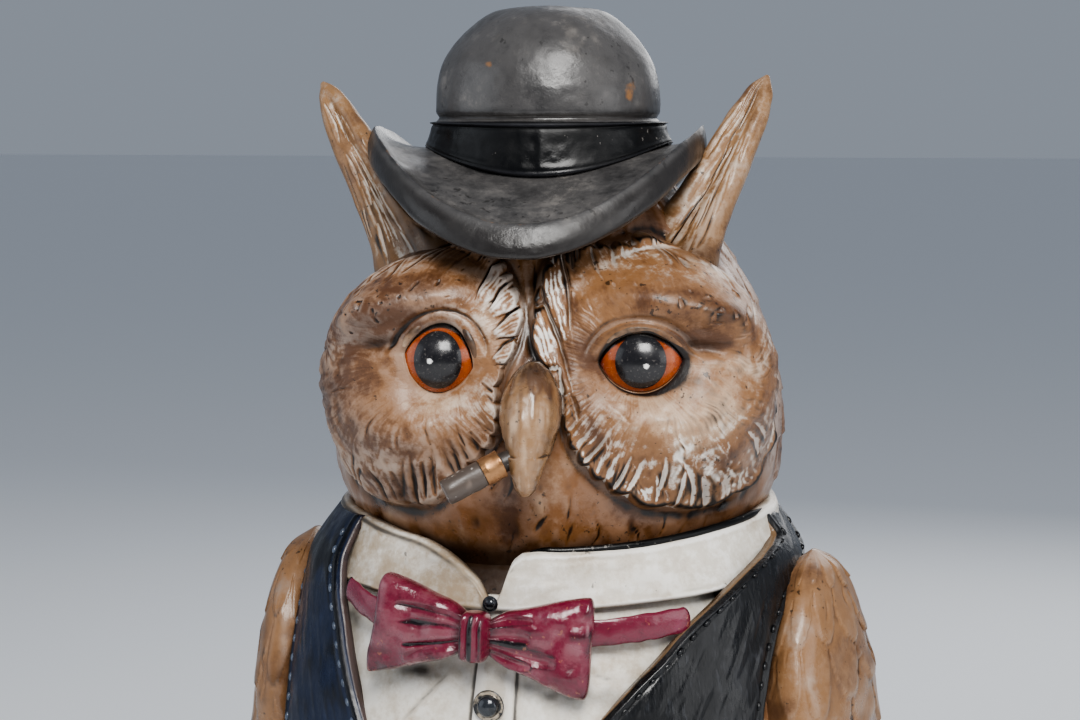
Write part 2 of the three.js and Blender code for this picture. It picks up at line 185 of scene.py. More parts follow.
def wrapped(name, points, paint, slot, stands=(), poles=None, depth=0.12, passes=14, **marks):
    # a form closed round its columns, with a pole at each end
    rows, cols = points.shape[:2]
    ends = poles or (points[0].mean(0), points[-1].mean(0))
    marks = {"relief": reliefOf(points, True, depth, passes), **marks}
    marks = {k: np.r_[np.broadcast_to(v, (rows, cols)).ravel(), v.flat[0], v.flat[-1]] if np.ndim(v)
             else np.full(rows * cols + 2, v) for k, v in marks.items()}
    faces = skinFaces(rows, cols, True)
    last = (rows - 1) * cols
    for c in range(cols):
        faces.append([rows * cols, (c + 1) % cols, c])
        faces.append([rows * cols + 1, last + c, last + (c + 1) % cols])
    flat = np.vstack([points.reshape(-1, 3), ends[0], ends[1]])
    return finishPiece(name, flat, faces, paint, stands, marks)


def slab(name, outer, inner, paint, slot, stands=(), depth=0.12, passes=14, **marks):
    # a sheet with an outer and an inner face, joined round its border
    rows, cols = outer.shape[:2]
    marks = {"relief": reliefOf(outer, False, depth, passes), **marks}
    marks = {k: np.tile(np.broadcast_to(v, (rows, cols)).ravel(), 2) for k, v in marks.items()}
    count = rows * cols
    faces = skinFaces(rows, cols, False) + [f[::-1] for f in skinFaces(rows, cols, False, count)]
    border = [(0, c) for c in range(cols)] + [(r, cols - 1) for r in range(1, rows)]
    border += [(rows - 1, c) for c in range(cols - 2, -1, -1)] + [(r, 0) for r in range(rows - 2, 0, -1)]
    ring = [r * cols + c for r, c in border]
    for a, b in zip(ring, ring[1:] + ring[:1]):
        faces.append([b, a, a + count, b + count])
    both = np.vstack([outer.reshape(-1, 3), inner.reshape(-1, 3)])
    return finishPiece(name, both, faces, paint, stands, marks)


def turnHead(points):
    c, s = np.cos(headTurn), np.sin(headTurn)
    x, y, z = points[..., 0], points[..., 1], points[..., 2]
    return places(x * c - y * s, x * s + y * c, z)


def tube(path, radii, sides=12, squash=1.0):
    # rings of a given radius round a path, for wrapped()
    path = np.asarray(path, float)
    ahead = np.gradient(path, axis=0)
    ahead /= np.linalg.norm(ahead, axis=1, keepdims=True)
    side = np.cross(ahead, [0.03, 0.02, 1.0])
    side /= np.linalg.norm(side, axis=1, keepdims=True)
    other = np.cross(side, ahead)
    turn = around(sides)[..., None]
    radii = np.broadcast_to(radii, len(path))[:, None, None]
    return path[:, None] + radii * (side[:, None] * np.cos(turn) + other[:, None] * np.sin(turn) * squash)


def scales(along, across, length, width):
    # overlapping round-tipped feathers, laid in rows
    # gives their height, the distance from the shaft and the share along the feather
    overlap, half = 1.75, 0.52
    row = np.floor(along / length)
    best = [np.zeros_like(along) for _ in range(3)]
    done = np.zeros(along.shape, bool)
    for back in (1, 0):
        r = row - back
        share = (along / length - r) / overlap
        column = across / width + 0.5 * np.mod(r, 2)
        off = column - np.floor(column) - 0.5
        inside = (share < 1) & (np.abs(off) < half * np.sqrt(np.clip(1 - share**3, 0, 1))) & ~done
        for k, value in enumerate((0.25 + 0.75 * share, off, share)):
            best[k] = np.where(inside, value, best[k])
        done |= inside
    return best


# shader tools

def feed(tree, made, feeds):
    # every input by its name or number: a socket is linked, a value is set
    for key, value in feeds.items():
        if isinstance(value, bpy.types.NodeSocket):
            tree.links.new(value, made.inputs[key])
        else:
            made.inputs[key].default_value = value
    return made


def put(tree, kind, feeds=None, **settings):
    made = tree.nodes.new(kind)
    for key, value in settings.items():
        setattr(made, key, value)
    return feed(tree, made, feeds or {})


def color(hexCode):
    parts = [int(hexCode[i:i + 2], 16) / 255 for i in (0, 2, 4)]
    return (*[p / 12.92 if p <= 0.04045 else ((p + 0.055) / 1.055) ** 2.4 for p in parts], 1)


def blendColors(tree, factor, a, b):
    return put(tree, "ShaderNodeMix", {0: factor, 6: a, 7: b}, data_type="RGBA").outputs[2]


def maths(tree, how, a, b=0.0, clamp=False):
    return put(tree, "ShaderNodeMath", {0: a, 1: b}, operation=how, use_clamp=clamp).outputs[0]


def span(tree, value, low, high):
    feeds = {"Value": value, "From Min": low, "From Max": high}
    return put(tree, "ShaderNodeMapRange", feeds, interpolation_type="SMOOTHSTEP").outputs[0]


def grain(tree, where, scale, detail=3.0, rough=0.55, bend=0.0):
    feeds = {"Vector": where, "Scale": scale, "Detail": detail, "Roughness": rough, "Distortion": bend}
    return put(tree, "ShaderNodeTexNoise", feeds).outputs["Fac"]


def stretched(tree, where, amounts):
    return put(tree, "ShaderNodeMapping", {"Vector": where, "Scale": amounts}).outputs[0]


def makeGroup(name, inputs, outputs):
    group = bpy.data.node_groups.new(name, "ShaderNodeTree")
    for label, kind, value in inputs:
        socket = group.interface.new_socket(label, in_out="INPUT", socket_type="NodeSocket" + kind)
        if value is not None:
            socket.default_value = value
    for label, kind in outputs:
        group.interface.new_socket(label, in_out="OUTPUT", socket_type="NodeSocket" + kind)
    return group, group.nodes.new("NodeGroupInput").outputs, group.nodes.new("NodeGroupOutput")


def buildWashGroup():
    # dark wash left in the cuts, chalky dry-brush on the ridges, and a mottled coat under both
    tree, given, out = makeGroup("washAndDryBrush", [
        ("Where", "Vector", None), ("Relief", "Float", 0.0), ("Tone", "Float", 0.0),
        ("Coat", "Color", (0.5, 0.3, 0.2, 1)), ("Deep Coat", "Color", (0.3, 0.2, 0.1, 1)),
        ("Pale Coat", "Color", (0.7, 0.6, 0.5, 1)), ("Wash", "Color", (0.03, 0.015, 0.01, 1)),
        ("Chalk", "Color", (0.8, 0.75, 0.7, 1)), ("Wash Amount", "Float", 1.0),
        ("Chalk Amount", "Float", 0.5), ("Mottle", "Float", 0.5),
    ], [("Color", "Color"), ("Wash Mask", "Float"), ("Chalk Mask", "Float"), ("Height", "Float")])
    patches = maths(tree, "SUBTRACT", grain(tree, given["Where"], 150.0, 5.0, 0.65), 0.5)
    coarse = maths(tree, "SUBTRACT", grain(tree, given["Where"], 48.0, 3.0, 0.6, 0.6), 0.5)
    fine = maths(tree, "SUBTRACT", grain(tree, given["Where"], 620.0, 4.0, 0.7), 0.5)
    spread = maths(tree, "MULTIPLY", maths(tree, "ADD", coarse, patches), 4.2)
    level = maths(tree, "ADD", given["Tone"], maths(tree, "MULTIPLY", spread, given["Mottle"]))
    level = maths(tree, "ADD", level, maths(tree, "MULTIPLY", fine, 0.9))
    coat = blendColors(tree, span(tree, level, -1.0, 0.1), given["Deep Coat"], given["Coat"])
    coat = blendColors(tree, span(tree, level, 0.15, 1.2), coat, given["Pale Coat"])
    rough = maths(tree, "ADD", maths(tree, "MULTIPLY", patches, 1.9), maths(tree, "MULTIPLY", fine, 1.1))
    ridge = maths(tree, "ADD", given["Relief"], rough)
    worn = maths(tree, "ADD", 0.75, maths(tree, "MULTIPLY", coarse, 3.0), True)
    chalk = maths(tree, "MULTIPLY", maths(tree, "MULTIPLY", span(tree, ridge, -0.1, 0.45), worn),
                  given["Chalk Amount"], True)
    cut = maths(tree, "SUBTRACT", maths(tree, "MULTIPLY", rough, 0.45), given["Relief"])
    wash = maths(tree, "MULTIPLY", span(tree, cut, 0.05, 0.8), given["Wash Amount"], True)
    painted = blendColors(tree, chalk, coat, given["Chalk"])
    feed(tree, out, {
        "Color": blendColors(tree, wash, painted, given["Wash"]), "Wash Mask": wash, "Chalk Mask": chalk,
        "Height": maths(tree, "ADD", maths(tree, "MULTIPLY", fine, 0.6), patches),
    })
    return tree


def buildSpeckGroup():
    # small flecks of a second colour, thicker in patches
    tree, given, out = makeGroup("specks", [
        ("Where", "Vector", None), ("Color", "Color", (0.5, 0.5, 0.5, 1)), ("Speck", "Color", (0, 0, 0, 1)),
        ("Scale", "Float", 900.0), ("Amount", "Float", 0.5), ("Limit", "Float", 0.6),
    ], [("Color", "Color"), ("Mask", "Float")])
    dots = grain(tree, given["Where"], given["Scale"], 2.0, 0.6)
    gathered = grain(tree, given["Where"], 60.0, 3.0, 0.6)
    level = maths(tree, "ADD", dots, maths(tree, "MULTIPLY", maths(tree, "SUBTRACT", gathered, 0.5), 0.5))
    over = maths(tree, "SUBTRACT", level, given["Limit"])
    mask = maths(tree, "MULTIPLY", span(tree, over, 0.0, 0.05), given["Amount"], True)
    feed(tree, out, {"Color": blendColors(tree, mask, given["Color"], given["Speck"]), "Mask": mask})
    return tree


def buildVarnishGroup():
    # brushed varnish: patches from satin to gloss, with a faint ripple
    tree, given, out = makeGroup("varnish", [
        ("Where", "Vector", None), ("Gloss", "Float", 0.2), ("Dull", "Float", 0.5),
        ("Patch Scale", "Float", 70.0),
    ], [("Roughness", "Float"), ("Height", "Float")])
    patch = grain(tree, given["Where"], given["Patch Scale"], 4.0, 0.65)
    ripple = grain(tree, given["Where"], 330.0, 2.0, 0.5)
    share = span(tree, patch, 0.36, 0.64)
    between = {"Factor": share, "A": given["Gloss"], "B": given["Dull"]}
    feed(tree, out, {
        "Roughness": put(tree, "ShaderNodeMix", between, data_type="FLOAT").outputs[0],
        "Height": maths(tree, "ADD", maths(tree, "MULTIPLY", patch, 0.6), ripple),
    })
    return tree


washGroup, speckGroup, varnishGroup = buildWashGroup(), buildSpeckGroup(), buildVarnishGroup()


def useGroup(tree, group, feeds):
    return put(tree, "ShaderNodeGroup", feeds, node_tree=group).outputs


def mark(tree, name):
    # what a piece says about each of its points
    return put(tree, "ShaderNodeAttribute", attribute_name=name).outputs["Fac"]


def newPaint(name):
    paint = bpy.data.materials.new(name)
    paint.use_nodes = True
    tree = paint.node_tree
    where = tree.nodes.new("ShaderNodeTexCoord").outputs["Object"]
    return paint, tree, tree.nodes["Principled BSDF"], where


bumpReach = 0.0004  # metres


def bumped(tree, shader, height, strength, after=None):
    feeds = {"Height": height, "Strength": strength, "Distance": bumpReach}
    if after is not None:
        feeds["Normal"] = after
    made = put(tree, "ShaderNodeBump", feeds).outputs[0]
    feed(tree, shader, {"Normal": made})
    return made


def castPaint(name, coat, deep, pale, wash, chalk, washAmount=1.0, gloss=0.26, dull=0.5, mottle=0.5,
              lacquer=0.2, speck=("120c08", 700.0, 0.75, 0.69), grit=0.28):
    # the layered finish of the feathers, wings, ears, beak, feet and plinth
    paint, tree, shader, where = newPaint(name)
    layers = useGroup(tree, washGroup, {
        "Where": where, "Relief": mark(tree, "relief"), "Tone": mark(tree, "tone"), "Coat": color(coat),
        "Deep Coat": color(deep), "Pale Coat": color(pale), "Wash": color(wash), "Chalk": color(chalk),
        "Wash Amount": washAmount, "Chalk Amount": mark(tree, "chalk"), "Mottle": mottle,
    })
    shaded = blendColors(tree, mark(tree, "shade"), layers["Color"], color(wash))
    tone, size, amount, limit = speck
    flecks = useGroup(tree, speckGroup, {"Where": where, "Color": shaded, "Speck": color(tone),
                                         "Scale": size, "Amount": amount, "Limit": limit})
    coatOf = useGroup(tree, varnishGroup, {"Where": where, "Gloss": gloss, "Dull": dull})
    chalky = maths(tree, "MULTIPLY", layers["Chalk Mask"], 0.16)
    rough = maths(tree, "ADD", coatOf["Roughness"], chalky)
    feed(tree, shader, {"Base Color": flecks["Color"], "Roughness": rough, "Coat Weight": lacquer,
                        "Coat Roughness": 0.16})
    bumped(tree, shader, coatOf["Height"], 0.12, after=bumped(tree, shader, layers["Height"], grit))
    return paint


featherPaint = castPaint("featherPaint", "8a6342", "573822", "bb9e83", "140b06", "e6dfd6",
                         1.0, 0.34, 0.58, 0.7, 0.1, grit=0.55)
chestnutPaint = castPaint("chestnutPaint", "79502c", "4f2f17", "9c7b5c", "140b06", "b9aca4", grit=0.5)
wingPaint = castPaint("wingPaint", "8a6645", "614530", "9d8776", "1d1009", "c9b9a8", 0.9, dull=0.44)
tuftPaint = castPaint("tuftPaint", "8f6c4a", "5c402b", "ab9480", "170e09", "d3c8bb", dull=0.46, mottle=0.6)
beakPaint = castPaint("beakPaint", "8c6a49", "5f4430", "b3967a", "180f09", "dac9b3",
                      0.8, 0.16, 0.34, 0.45, 0.4)
plinthPaint = castPaint("plinthPaint", "3d2a1b", "22160e", "5b4531", "0d0805", "7d6a54", gloss=0.28)


# the head: one outline turned about the axis, with the two face pads swelling out of its front

headForm = {
    "outline": [[172, 34], [183.3, 40], [187.5, 42.8], [192, 44.9], [198, 47.4], [206, 48.6], [214, 48.6],
                [225, 46.4], [238, 42], [247, 36.6], [254, 31.4], [260, 25.6], [264, 19], [265.5, 8]],
    "padAt": (20.6, -24.6, 220.6), "padRadii": (26.2, 23.6, 28.2), "girth": 48.0,
    "bottom": 173, "top": 265.3, "rows": 144, "columns": 360,
}


def headRadius(theta, z):
    missed, merge = -99, 4  # no pad in this direction, and the mm over which a pad runs into the head
    wide = curve(z, headForm["outline"])
    radius = wide / np.hypot(np.sin(theta), np.cos(theta) / depthShare)
    (cx, cy, cz), (rx, ry, rz) = headForm["padAt"], headForm["padRadii"]
    for side in (-1, 1):
        level = 1 - ((z - cz) / rz) ** 2
        dx, dy = np.sin(theta), -np.cos(theta)
        a = (dx / rx) ** 2 + (dy / ry) ** 2
        b = -2 * (dx * side * cx / rx**2 + dy * cy / ry**2)
        c = (cx / rx) ** 2 + (cy / ry) ** 2 - level
        inside = b * b - 4 * a * c
        pad = np.where((inside > 0) & (level > 0), (-b + np.sqrt(np.maximum(inside, 0))) / (2 * a), missed)
        close = np.maximum(merge - np.abs(radius - pad), 0) / merge
        radius = np.maximum(radius, pad) + close**2
    return radius


def headPoint(s, z, lift):
    # s is measured round the head from the middle of the face
    theta = s / headForm["girth"]
    radius = headRadius(theta, z) + lift
    return places(radius * np.sin(theta), -radius * np.cos(theta), z + 0 * s)


# The face discs are laid out round each eye: 0 degrees is outwards, 90 up, 180 towards the beak.
# eye: half its width, height of the upper and of the lower lid, tilt
# leaves: start, end, width; nicks: start, end, width, depth
# tones and whites: middle, radii, tilt, amount
# the darkest tones, in the hollows at the eyes' outer corners and above the upper lids, are painted shade;
# the light tone on each cheek bulge is partly painted light
faceDiscs = {
    "left": {
        "side": 1, "eyeAt": 20.0, "seed": 11, "white": 1.0, "eye": (8.6, 6.0, 6.5, 2.5),
        "rim": [[0, 37], [20, 34], [50, 31], [90, 23.5], [112, 25.4], [132, 27.6], [150, 25.4], [160, 24],
                [172, 22], [193, 18], [218, 19.7], [236, 23], [259, 27], [278, 31], [300, 36.5], [318, 43],
                [335, 45], [346, 43]],
        "leaves": [[(-18.6, 21.4), (-14.6, 4.6), 3.2], [(-21.8, 10.0), (-14.6, -6.4), 3.0],
                   [(-17.6, -2.0), (-16.0, -14.6), 1.6]],
        "nicks": [[(18.6, -14.2), (28, -20.6), 1.15, 1.3], [(20.4, -12.6), (28.4, -17.6), 0.7, 0.7],
                  [(7.4, 24.8), (5.6, 22.8), 1.2, 1.2], [(14.6, 20.6), (13.0, 18.6), 1.2, 1.2],
                  [(21.5, 13.6), (19.4, 12.4), 1.1, 1.1], [(23.4, 10.4), (20.4, 9.4), 1.0, 1.0],
                  [(-13.2, 25.4), (-12.6, 18.4), 0.9, 1.2], [(-11.4, 26), (-11.2, 20), 0.7, 1.0],
                  [(-14.6, 26), (-14.4, 20.4), 0.6, 0.9], [(-6.8, -8.6), (-2.6, -12.4), 0.7, 0.5],
                  [(-14, -6), (-12.4, -12), 0.8, 0.8]],
        "tones": [[(4, -11.5), (15, 8), 0, 1.1], [(17, -4), (9, 7), 20, 0.8], [(-9, -13), (4, 7), 20, -1.1],
                  [(24, -12), (5, 7), 30, -0.8], [(14, -20), (5, 4), 20, -0.7],
                  [(-10.5, 2), (4.5, 9), 8, -0.75], [(7, 12.5), (14, 4.5), -12, -0.45],
                  [(12.4, 4.0), (4.6, 1.8), -14, -1.7], [(24, 16), (9, 7), -35, 0.7]],
        "whites": [[(1, 22), (14, 5), -6, 0.85], [(27, 13), (6, 12), 25, 0.8], [(-3, -25), (18, 10), 12, 1.5],
                   [(20, -22), (12, 10), 30, 0.6], [(4, -14), (14, 5), 0, 0.35], [(28, 0), (8, 7), 0, 0.5]],
    },
    "right": {
        "side": -1, "eyeAt": -20.5, "seed": 23, "white": 0.3, "eye": (7.2, 7.6, 7.1, 12.0),
        "rim": [[0, 33], [30, 29], [60, 25.5], [90, 23], [112, 21.6], [132, 20], [152, 18.4], [168, 15.6],
                [190, 13.2], [207, 13.6], [230, 18.7], [257, 23.4], [281, 31.5], [300, 36], [320, 41],
                [340, 40]],
        "leaves": [[(-11.2, 20.4), (-7.4, 12.0), 2.9], [(-15.2, 14.6), (-9.4, 9.4), 2.8],
                   [(-17.0, 8.6), (-10.6, 5.2), 2.5], [(-15.6, 2.4), (-11.0, 0.0), 2.2]],
        "nicks": [[(20.6, 12.6), (15.6, 20.4), 0.7, 0.7], [(9, 23.6), (10.4, 17.4), 0.9, 0.8],
                  [(14.6, -6), (21, -7.6), 0.5, 0.6], [(8.6, -10.4), (11.8, -15.4), 0.6, 0.7],
                  [(4.6, -13.2), (6.0, -18.4), 0.6, 0.7], [(0.4, -11.6), (-0.2, -17.0), 0.7, 0.8],
                  [(-4.6, -12.4), (-6.2, -17.6), 0.6, 0.7], [(24, -10), (30, -16), 0.9, 0.8]],
        "tones": [[(3, -10), (12, 6), 0, 0.55], [(11, 5.4), (8, 3.8), -14, -1.7],
                  [(6, 13), (13, 5), -8, -0.6], [(-9, 5), (3.6, 10), 0, 0.6],
                  [(14, -18), (12, 11), 30, -0.7], [(24, -4), (10, 14), 0, -0.5]],
        "whites": [[(14, 20), (9, 6), -25, 0.45], [(-7, 14), (5, 9), 20, 0.7], [(3, -20), (14, 6), 0, 0.25],
                   [(-9, -9), (5, 7), 0, 0.3], [(22, 6), (6, 10), 0, 0.2]],
    },
}
eyeForm = {"radii": (10.2, 10.2, 9.2), "y": -37.0, "spread": 1.02}


def lidHeight(x, eye, upper):
    return (eye[1] if upper else eye[2]) * np.clip(1 - (x / eye[0]) ** 2, 0, 1) ** 0.7


def openingReach(angle, eye):
    # from the middle of the eye to the lids, found by halving the gap between near and far
    a = np.radians(angle - eye[3])
    near, far = np.full(a.shape, 0.5), np.full(a.shape, 12.0)
    for _ in range(26):
        middle = (near + far) / 2
        x, z = middle * np.cos(a), middle * np.sin(a)
        inside = np.abs(z) < np.where(z > 0, lidHeight(x, eye, True), lidHeight(x, eye, False))
        near, far = np.where(inside, middle, near), np.where(inside, far, middle)
    return near


def discShape(disc, ds, dz, share, angle, gap):
    # height over the head, chalk, shade and tone, at places measured from the eye
    rng = np.random.default_rng(disc["seed"])
    lower = ease(np.sin(np.radians(angle)), 0.25, -0.35)
    flat = places(ds, dz, 0)
    height = 1.5 - 2.1 * spot(ds, dz, (0, 0.4), (12, 10))
    brow = spot(ds, dz, (3, 14), (14, 5.2), -10) + 0.85 * spot(ds, dz, (14.5, 9.8), (8, 4.9), -24)
    height += 3.3 * brow + 0.9 * spot(ds, dz, (14, 8.6), (6, 3.4), -20)
    height += 1.8 * spot(ds, dz, (4, -13.5), (15, 8.5)) + 1.3 * spot(ds, dz, (-12.5, -6), (3.4, 8))
    height -= 1.5 * spot(ds, dz, (10, 6.2), (7, 2.6), -12) + 2.1 * spot(ds, dz, (11.8, 2.7), (4, 1.5), -12)
    crease = bell(gap, 2.7, 0.6) * ease(dz, 0, 3.5)
    height -= 0.8 * crease
    cuts, hairs = np.zeros_like(ds), np.zeros_like(ds)

    def stroke(at, fromShare, toShare, width, lean, bend):
        ends = []
        for degrees, part in ((at, fromShare), (at + lean, toShare)):
            reach = float(roundCurve(degrees, disc["rim"])) * part
            ends.append((reach * np.cos(np.radians(degrees)), reach * np.sin(np.radians(degrees))))
        return groove(ds, dz, *ends, width, bend)

    at = 206.0  # the deep cuts along the lower edge
    while at < 356:
        deep = rng.uniform(0.35, 1) * (1 if 236 < at < 312 else 0.7)
        cut = stroke(at, rng.uniform(0.55, 0.82), rng.uniform(0.93, 1.1), rng.uniform(0.6, 1.6),
                     rng.uniform(-6, 6), rng.uniform(-0.1, 0.1))
        cuts = np.maximum(cuts, deep * cut)
        at += rng.uniform(3.6, 9.0) * (31 / float(roundCurve(at, disc["rim"])))
    at = 4.0  # the shorter ones along the upper edge
    while at < 176:
        deep = rng.uniform(0.25, 0.9)
        cut = stroke(at, rng.uniform(0.66, 0.88), rng.uniform(0.96, 1.08), rng.uniform(0.4, 1.1),
                     rng.uniform(-9, 9), rng.uniform(-0.15, 0.15))
        cuts = np.maximum(cuts, deep * cut)
        at += rng.uniform(6, 16)
    for _ in range(100):
        at, start = rng.uniform(0, 360), rng.uniform(0.4, 0.88)
        hair = stroke(at, start, start + rng.uniform(0.06, 0.22), rng.uniform(0.25, 0.6),
                      rng.uniform(-9, 9), rng.uniform(-0.2, 0.2))
        hairs = np.maximum(hairs, hair * rng.uniform(0.2, 1))
    leaf, rimmed, combed = np.zeros_like(ds), np.zeros_like(ds), np.zeros_like(ds)
    for start, end, width in disc["leaves"]:  # wide and cut off at the start, running out to nothing
        start, end = np.array(start), np.array(end)
        length = np.hypot(*(end - start))
        ahead = (end - start) / length
        along = ((ds - start[0]) * ahead[0] + (dz - start[1]) * ahead[1]) / length
        off = (dz - start[1]) * ahead[0] - (ds - start[0]) * ahead[1]
        off = off + 0.25 * lumps(flat, 2.4, disc["seed"] + 9)
        half = width * (1 - 0.6 * ease(along, 0.35, 1.1))
        body = np.sqrt(np.clip(1 - (off / half) ** 2, 0, 1))
        body = body * ease(along, -0.06, 0.03) * ease(along, 1.12, 0.8)
        line = bell(np.abs(off) - half, 0.1, 0.32) * ease(along, -0.12, 0.05) * ease(along, 0.95, 0.5)
        rimmed = np.maximum(rimmed * (body < 0.3), line)
        rimmed = np.maximum(rimmed, bell(along, -0.05, 0.04) * (np.abs(off) < half))
        combed = np.where(body > leaf, np.sin(off * 5.5 + 2 * lumps(flat, 2, disc["seed"])) * body, combed)
        leaf = np.maximum(leaf, body)
    smooth = 1 - ease(leaf, 0.1, 0.5)
    for start, end, width, amount in disc["nicks"]:
        cuts = np.maximum(cuts, amount * groove(ds, dz, start, end, width, 0.05))
    calm = smooth * (1 - 0.85 * np.clip(brow, 0, 1))
    bend = angle + 9 * lumps(flat, 10, disc["seed"] + 1) + 3 * lumps(flat, 3.5, disc["seed"] + 2)
    reach = np.hypot(ds, dz)
    fibre = lumps(places(bend * 224 / 360, reach * 0.13, 0), 1.0, disc["seed"] + 3)
    fine = lumps(places(bend * 448 / 360, reach * 0.22, 0), 1.0, disc["seed"] + 4)
    tufts = ease(share, 0.6, 0.86)
    height += 0.6 * tufts * lower + (0.9 + 0.5 * disc["white"]) * leaf + 0.07 * combed
    height -= smooth * (1.3 * cuts * (0.35 + 0.65 * tufts) + 0.12 * hairs) + 0.7 * rimmed
    height += calm * ease(gap, 1.5, 7) * (0.2 * fibre * (0.3 + 0.5 * tufts) + 0.04 * fine)
    height += 0.34 * lumps(flat, 5.2, disc["seed"])
    height += ease(gap, 0.5, 3) * (0.16 * lumps(flat, 1.9, disc["seed"] + 5)
                                   - 0.5 * ease(lumps(flat, 1.3, disc["seed"] + 6), 0.62, 0.9) * brow)
    # tone: the listed tones (painted shade in the eye hollows, partly painted light on the cheeks) and a
    # random fibre mottle
    tone = sum(amount * spot(ds, dz, at, radii, tilt) for at, radii, tilt, amount in disc["tones"])
    tone = tone + 0.4 * fibre * (0.3 + 0.6 * tufts) * calm + 0.1 * fine
    tone = tone + 0.22 * combed * (1 - 0.8 * disc["white"])
    white = sum(amount * spot(ds, dz, at, radii, tilt) for at, radii, tilt, amount in disc["whites"])
    chalk = 0.12 + white * (1 - 0.8 * np.clip(brow * 1.2, 0, 1))
    chalk = chalk + 0.5 * disc["white"] * lower * tufts * (1 - ease(cuts, 0.05, 0.3))
    chalk = np.maximum(chalk, ease(leaf, 0.15, 0.5) * (0.7 + 3.6 * disc["white"] ** 2))
    shade = 0.15 * crease + 0.55 * cuts * tufts * smooth
    shade = shade + 0.5 * spot(ds, dz, (11.6, 3.2), (3.4, 1.3), -12) + 0.4 * ease(share, 0.95, 1.0)
    shade += 0.55 * rimmed + 0.5 * bell(gap, 0, 0.9) * ease(dz, 0, 3)
    return height, np.clip(chalk, 0, 4.5), np.clip(shade, 0, 0.92), tone


def eyeFront(ds, dz):
    rx, ry, rz = eyeForm["radii"]
    return eyeForm["y"] - ry * np.sqrt(np.clip(1 - (ds / rx) ** 2 - (dz / rz) ** 2, 0.02, 1))


def eyePlace(disc, ds, y, dz):
    return places(disc["side"] * ds + disc["eyeAt"] * eyeForm["spread"], y, eyeLevel + dz)


def buildFaceDisc(name, disc, rows=96, columns=640):
    side = disc["side"]
    angle = np.linspace(0, 360, columns, endpoint=False)[None, :]
    w = down(rows)
    jag = np.abs(np.sin(np.radians(angle * 13) + 2.2 * np.sin(np.radians(angle * 3 + disc["seed"]))))
    rim = roundCurve(angle, disc["rim"]) * (1 + 0.045 * jag)
    inner = openingReach(angle, disc["eye"])
    reach = inner + (rim - inner) * w
    ds, dz = reach * np.cos(np.radians(angle)), reach * np.sin(np.radians(angle))
    share = reach / rim
    height, chalk, shade, tone = discShape(disc, ds, dz, share, angle + 0 * w, reach - inner)
    over = ease(share, 0.93, 1.0)
    height = height * (1 - over) - 2.2 * over
    points = headPoint(side * ds + disc["eyeAt"], eyeLevel + dz, height)
    onEye = eyePlace(disc, ds[:1], eyeFront(ds[:1], dz[:1]) - 0.6, dz[:1])
    drawnIn = np.clip(1 - (reach - inner) / 12, 0, 1)[..., None] ** 3
    points = points + (onEye - points[:1]) * drawnIn
    middle = eyePlace(disc, 0, eyeForm["y"], 0)
    tucked = middle + (points[:1] - middle) * np.array([0.94, 0.6, 0.94])  # the inner edge, behind the lids
    skirt = headPoint(side * ds[-1:] * 0.985 + disc["eyeAt"], eyeLevel + dz[-1:] * 0.985, -6.0)
    points = turnHead(np.concatenate([tucked, points, skirt]))
    pad = ((1, 1), (0, 0))
    marks = {"chalk": chalk, "shade": shade, "tone": tone}
    marks = {k: np.pad(v, pad, mode="edge") for k, v in marks.items()}
    poles = [turnHead(middle[None])[0], turnHead((middle * [0.8, 0.55, 1])[None])[0]]
    return wrapped(name, points, featherPaint, "feather_paint", poles=poles, depth=0.24, passes=9, **marks)


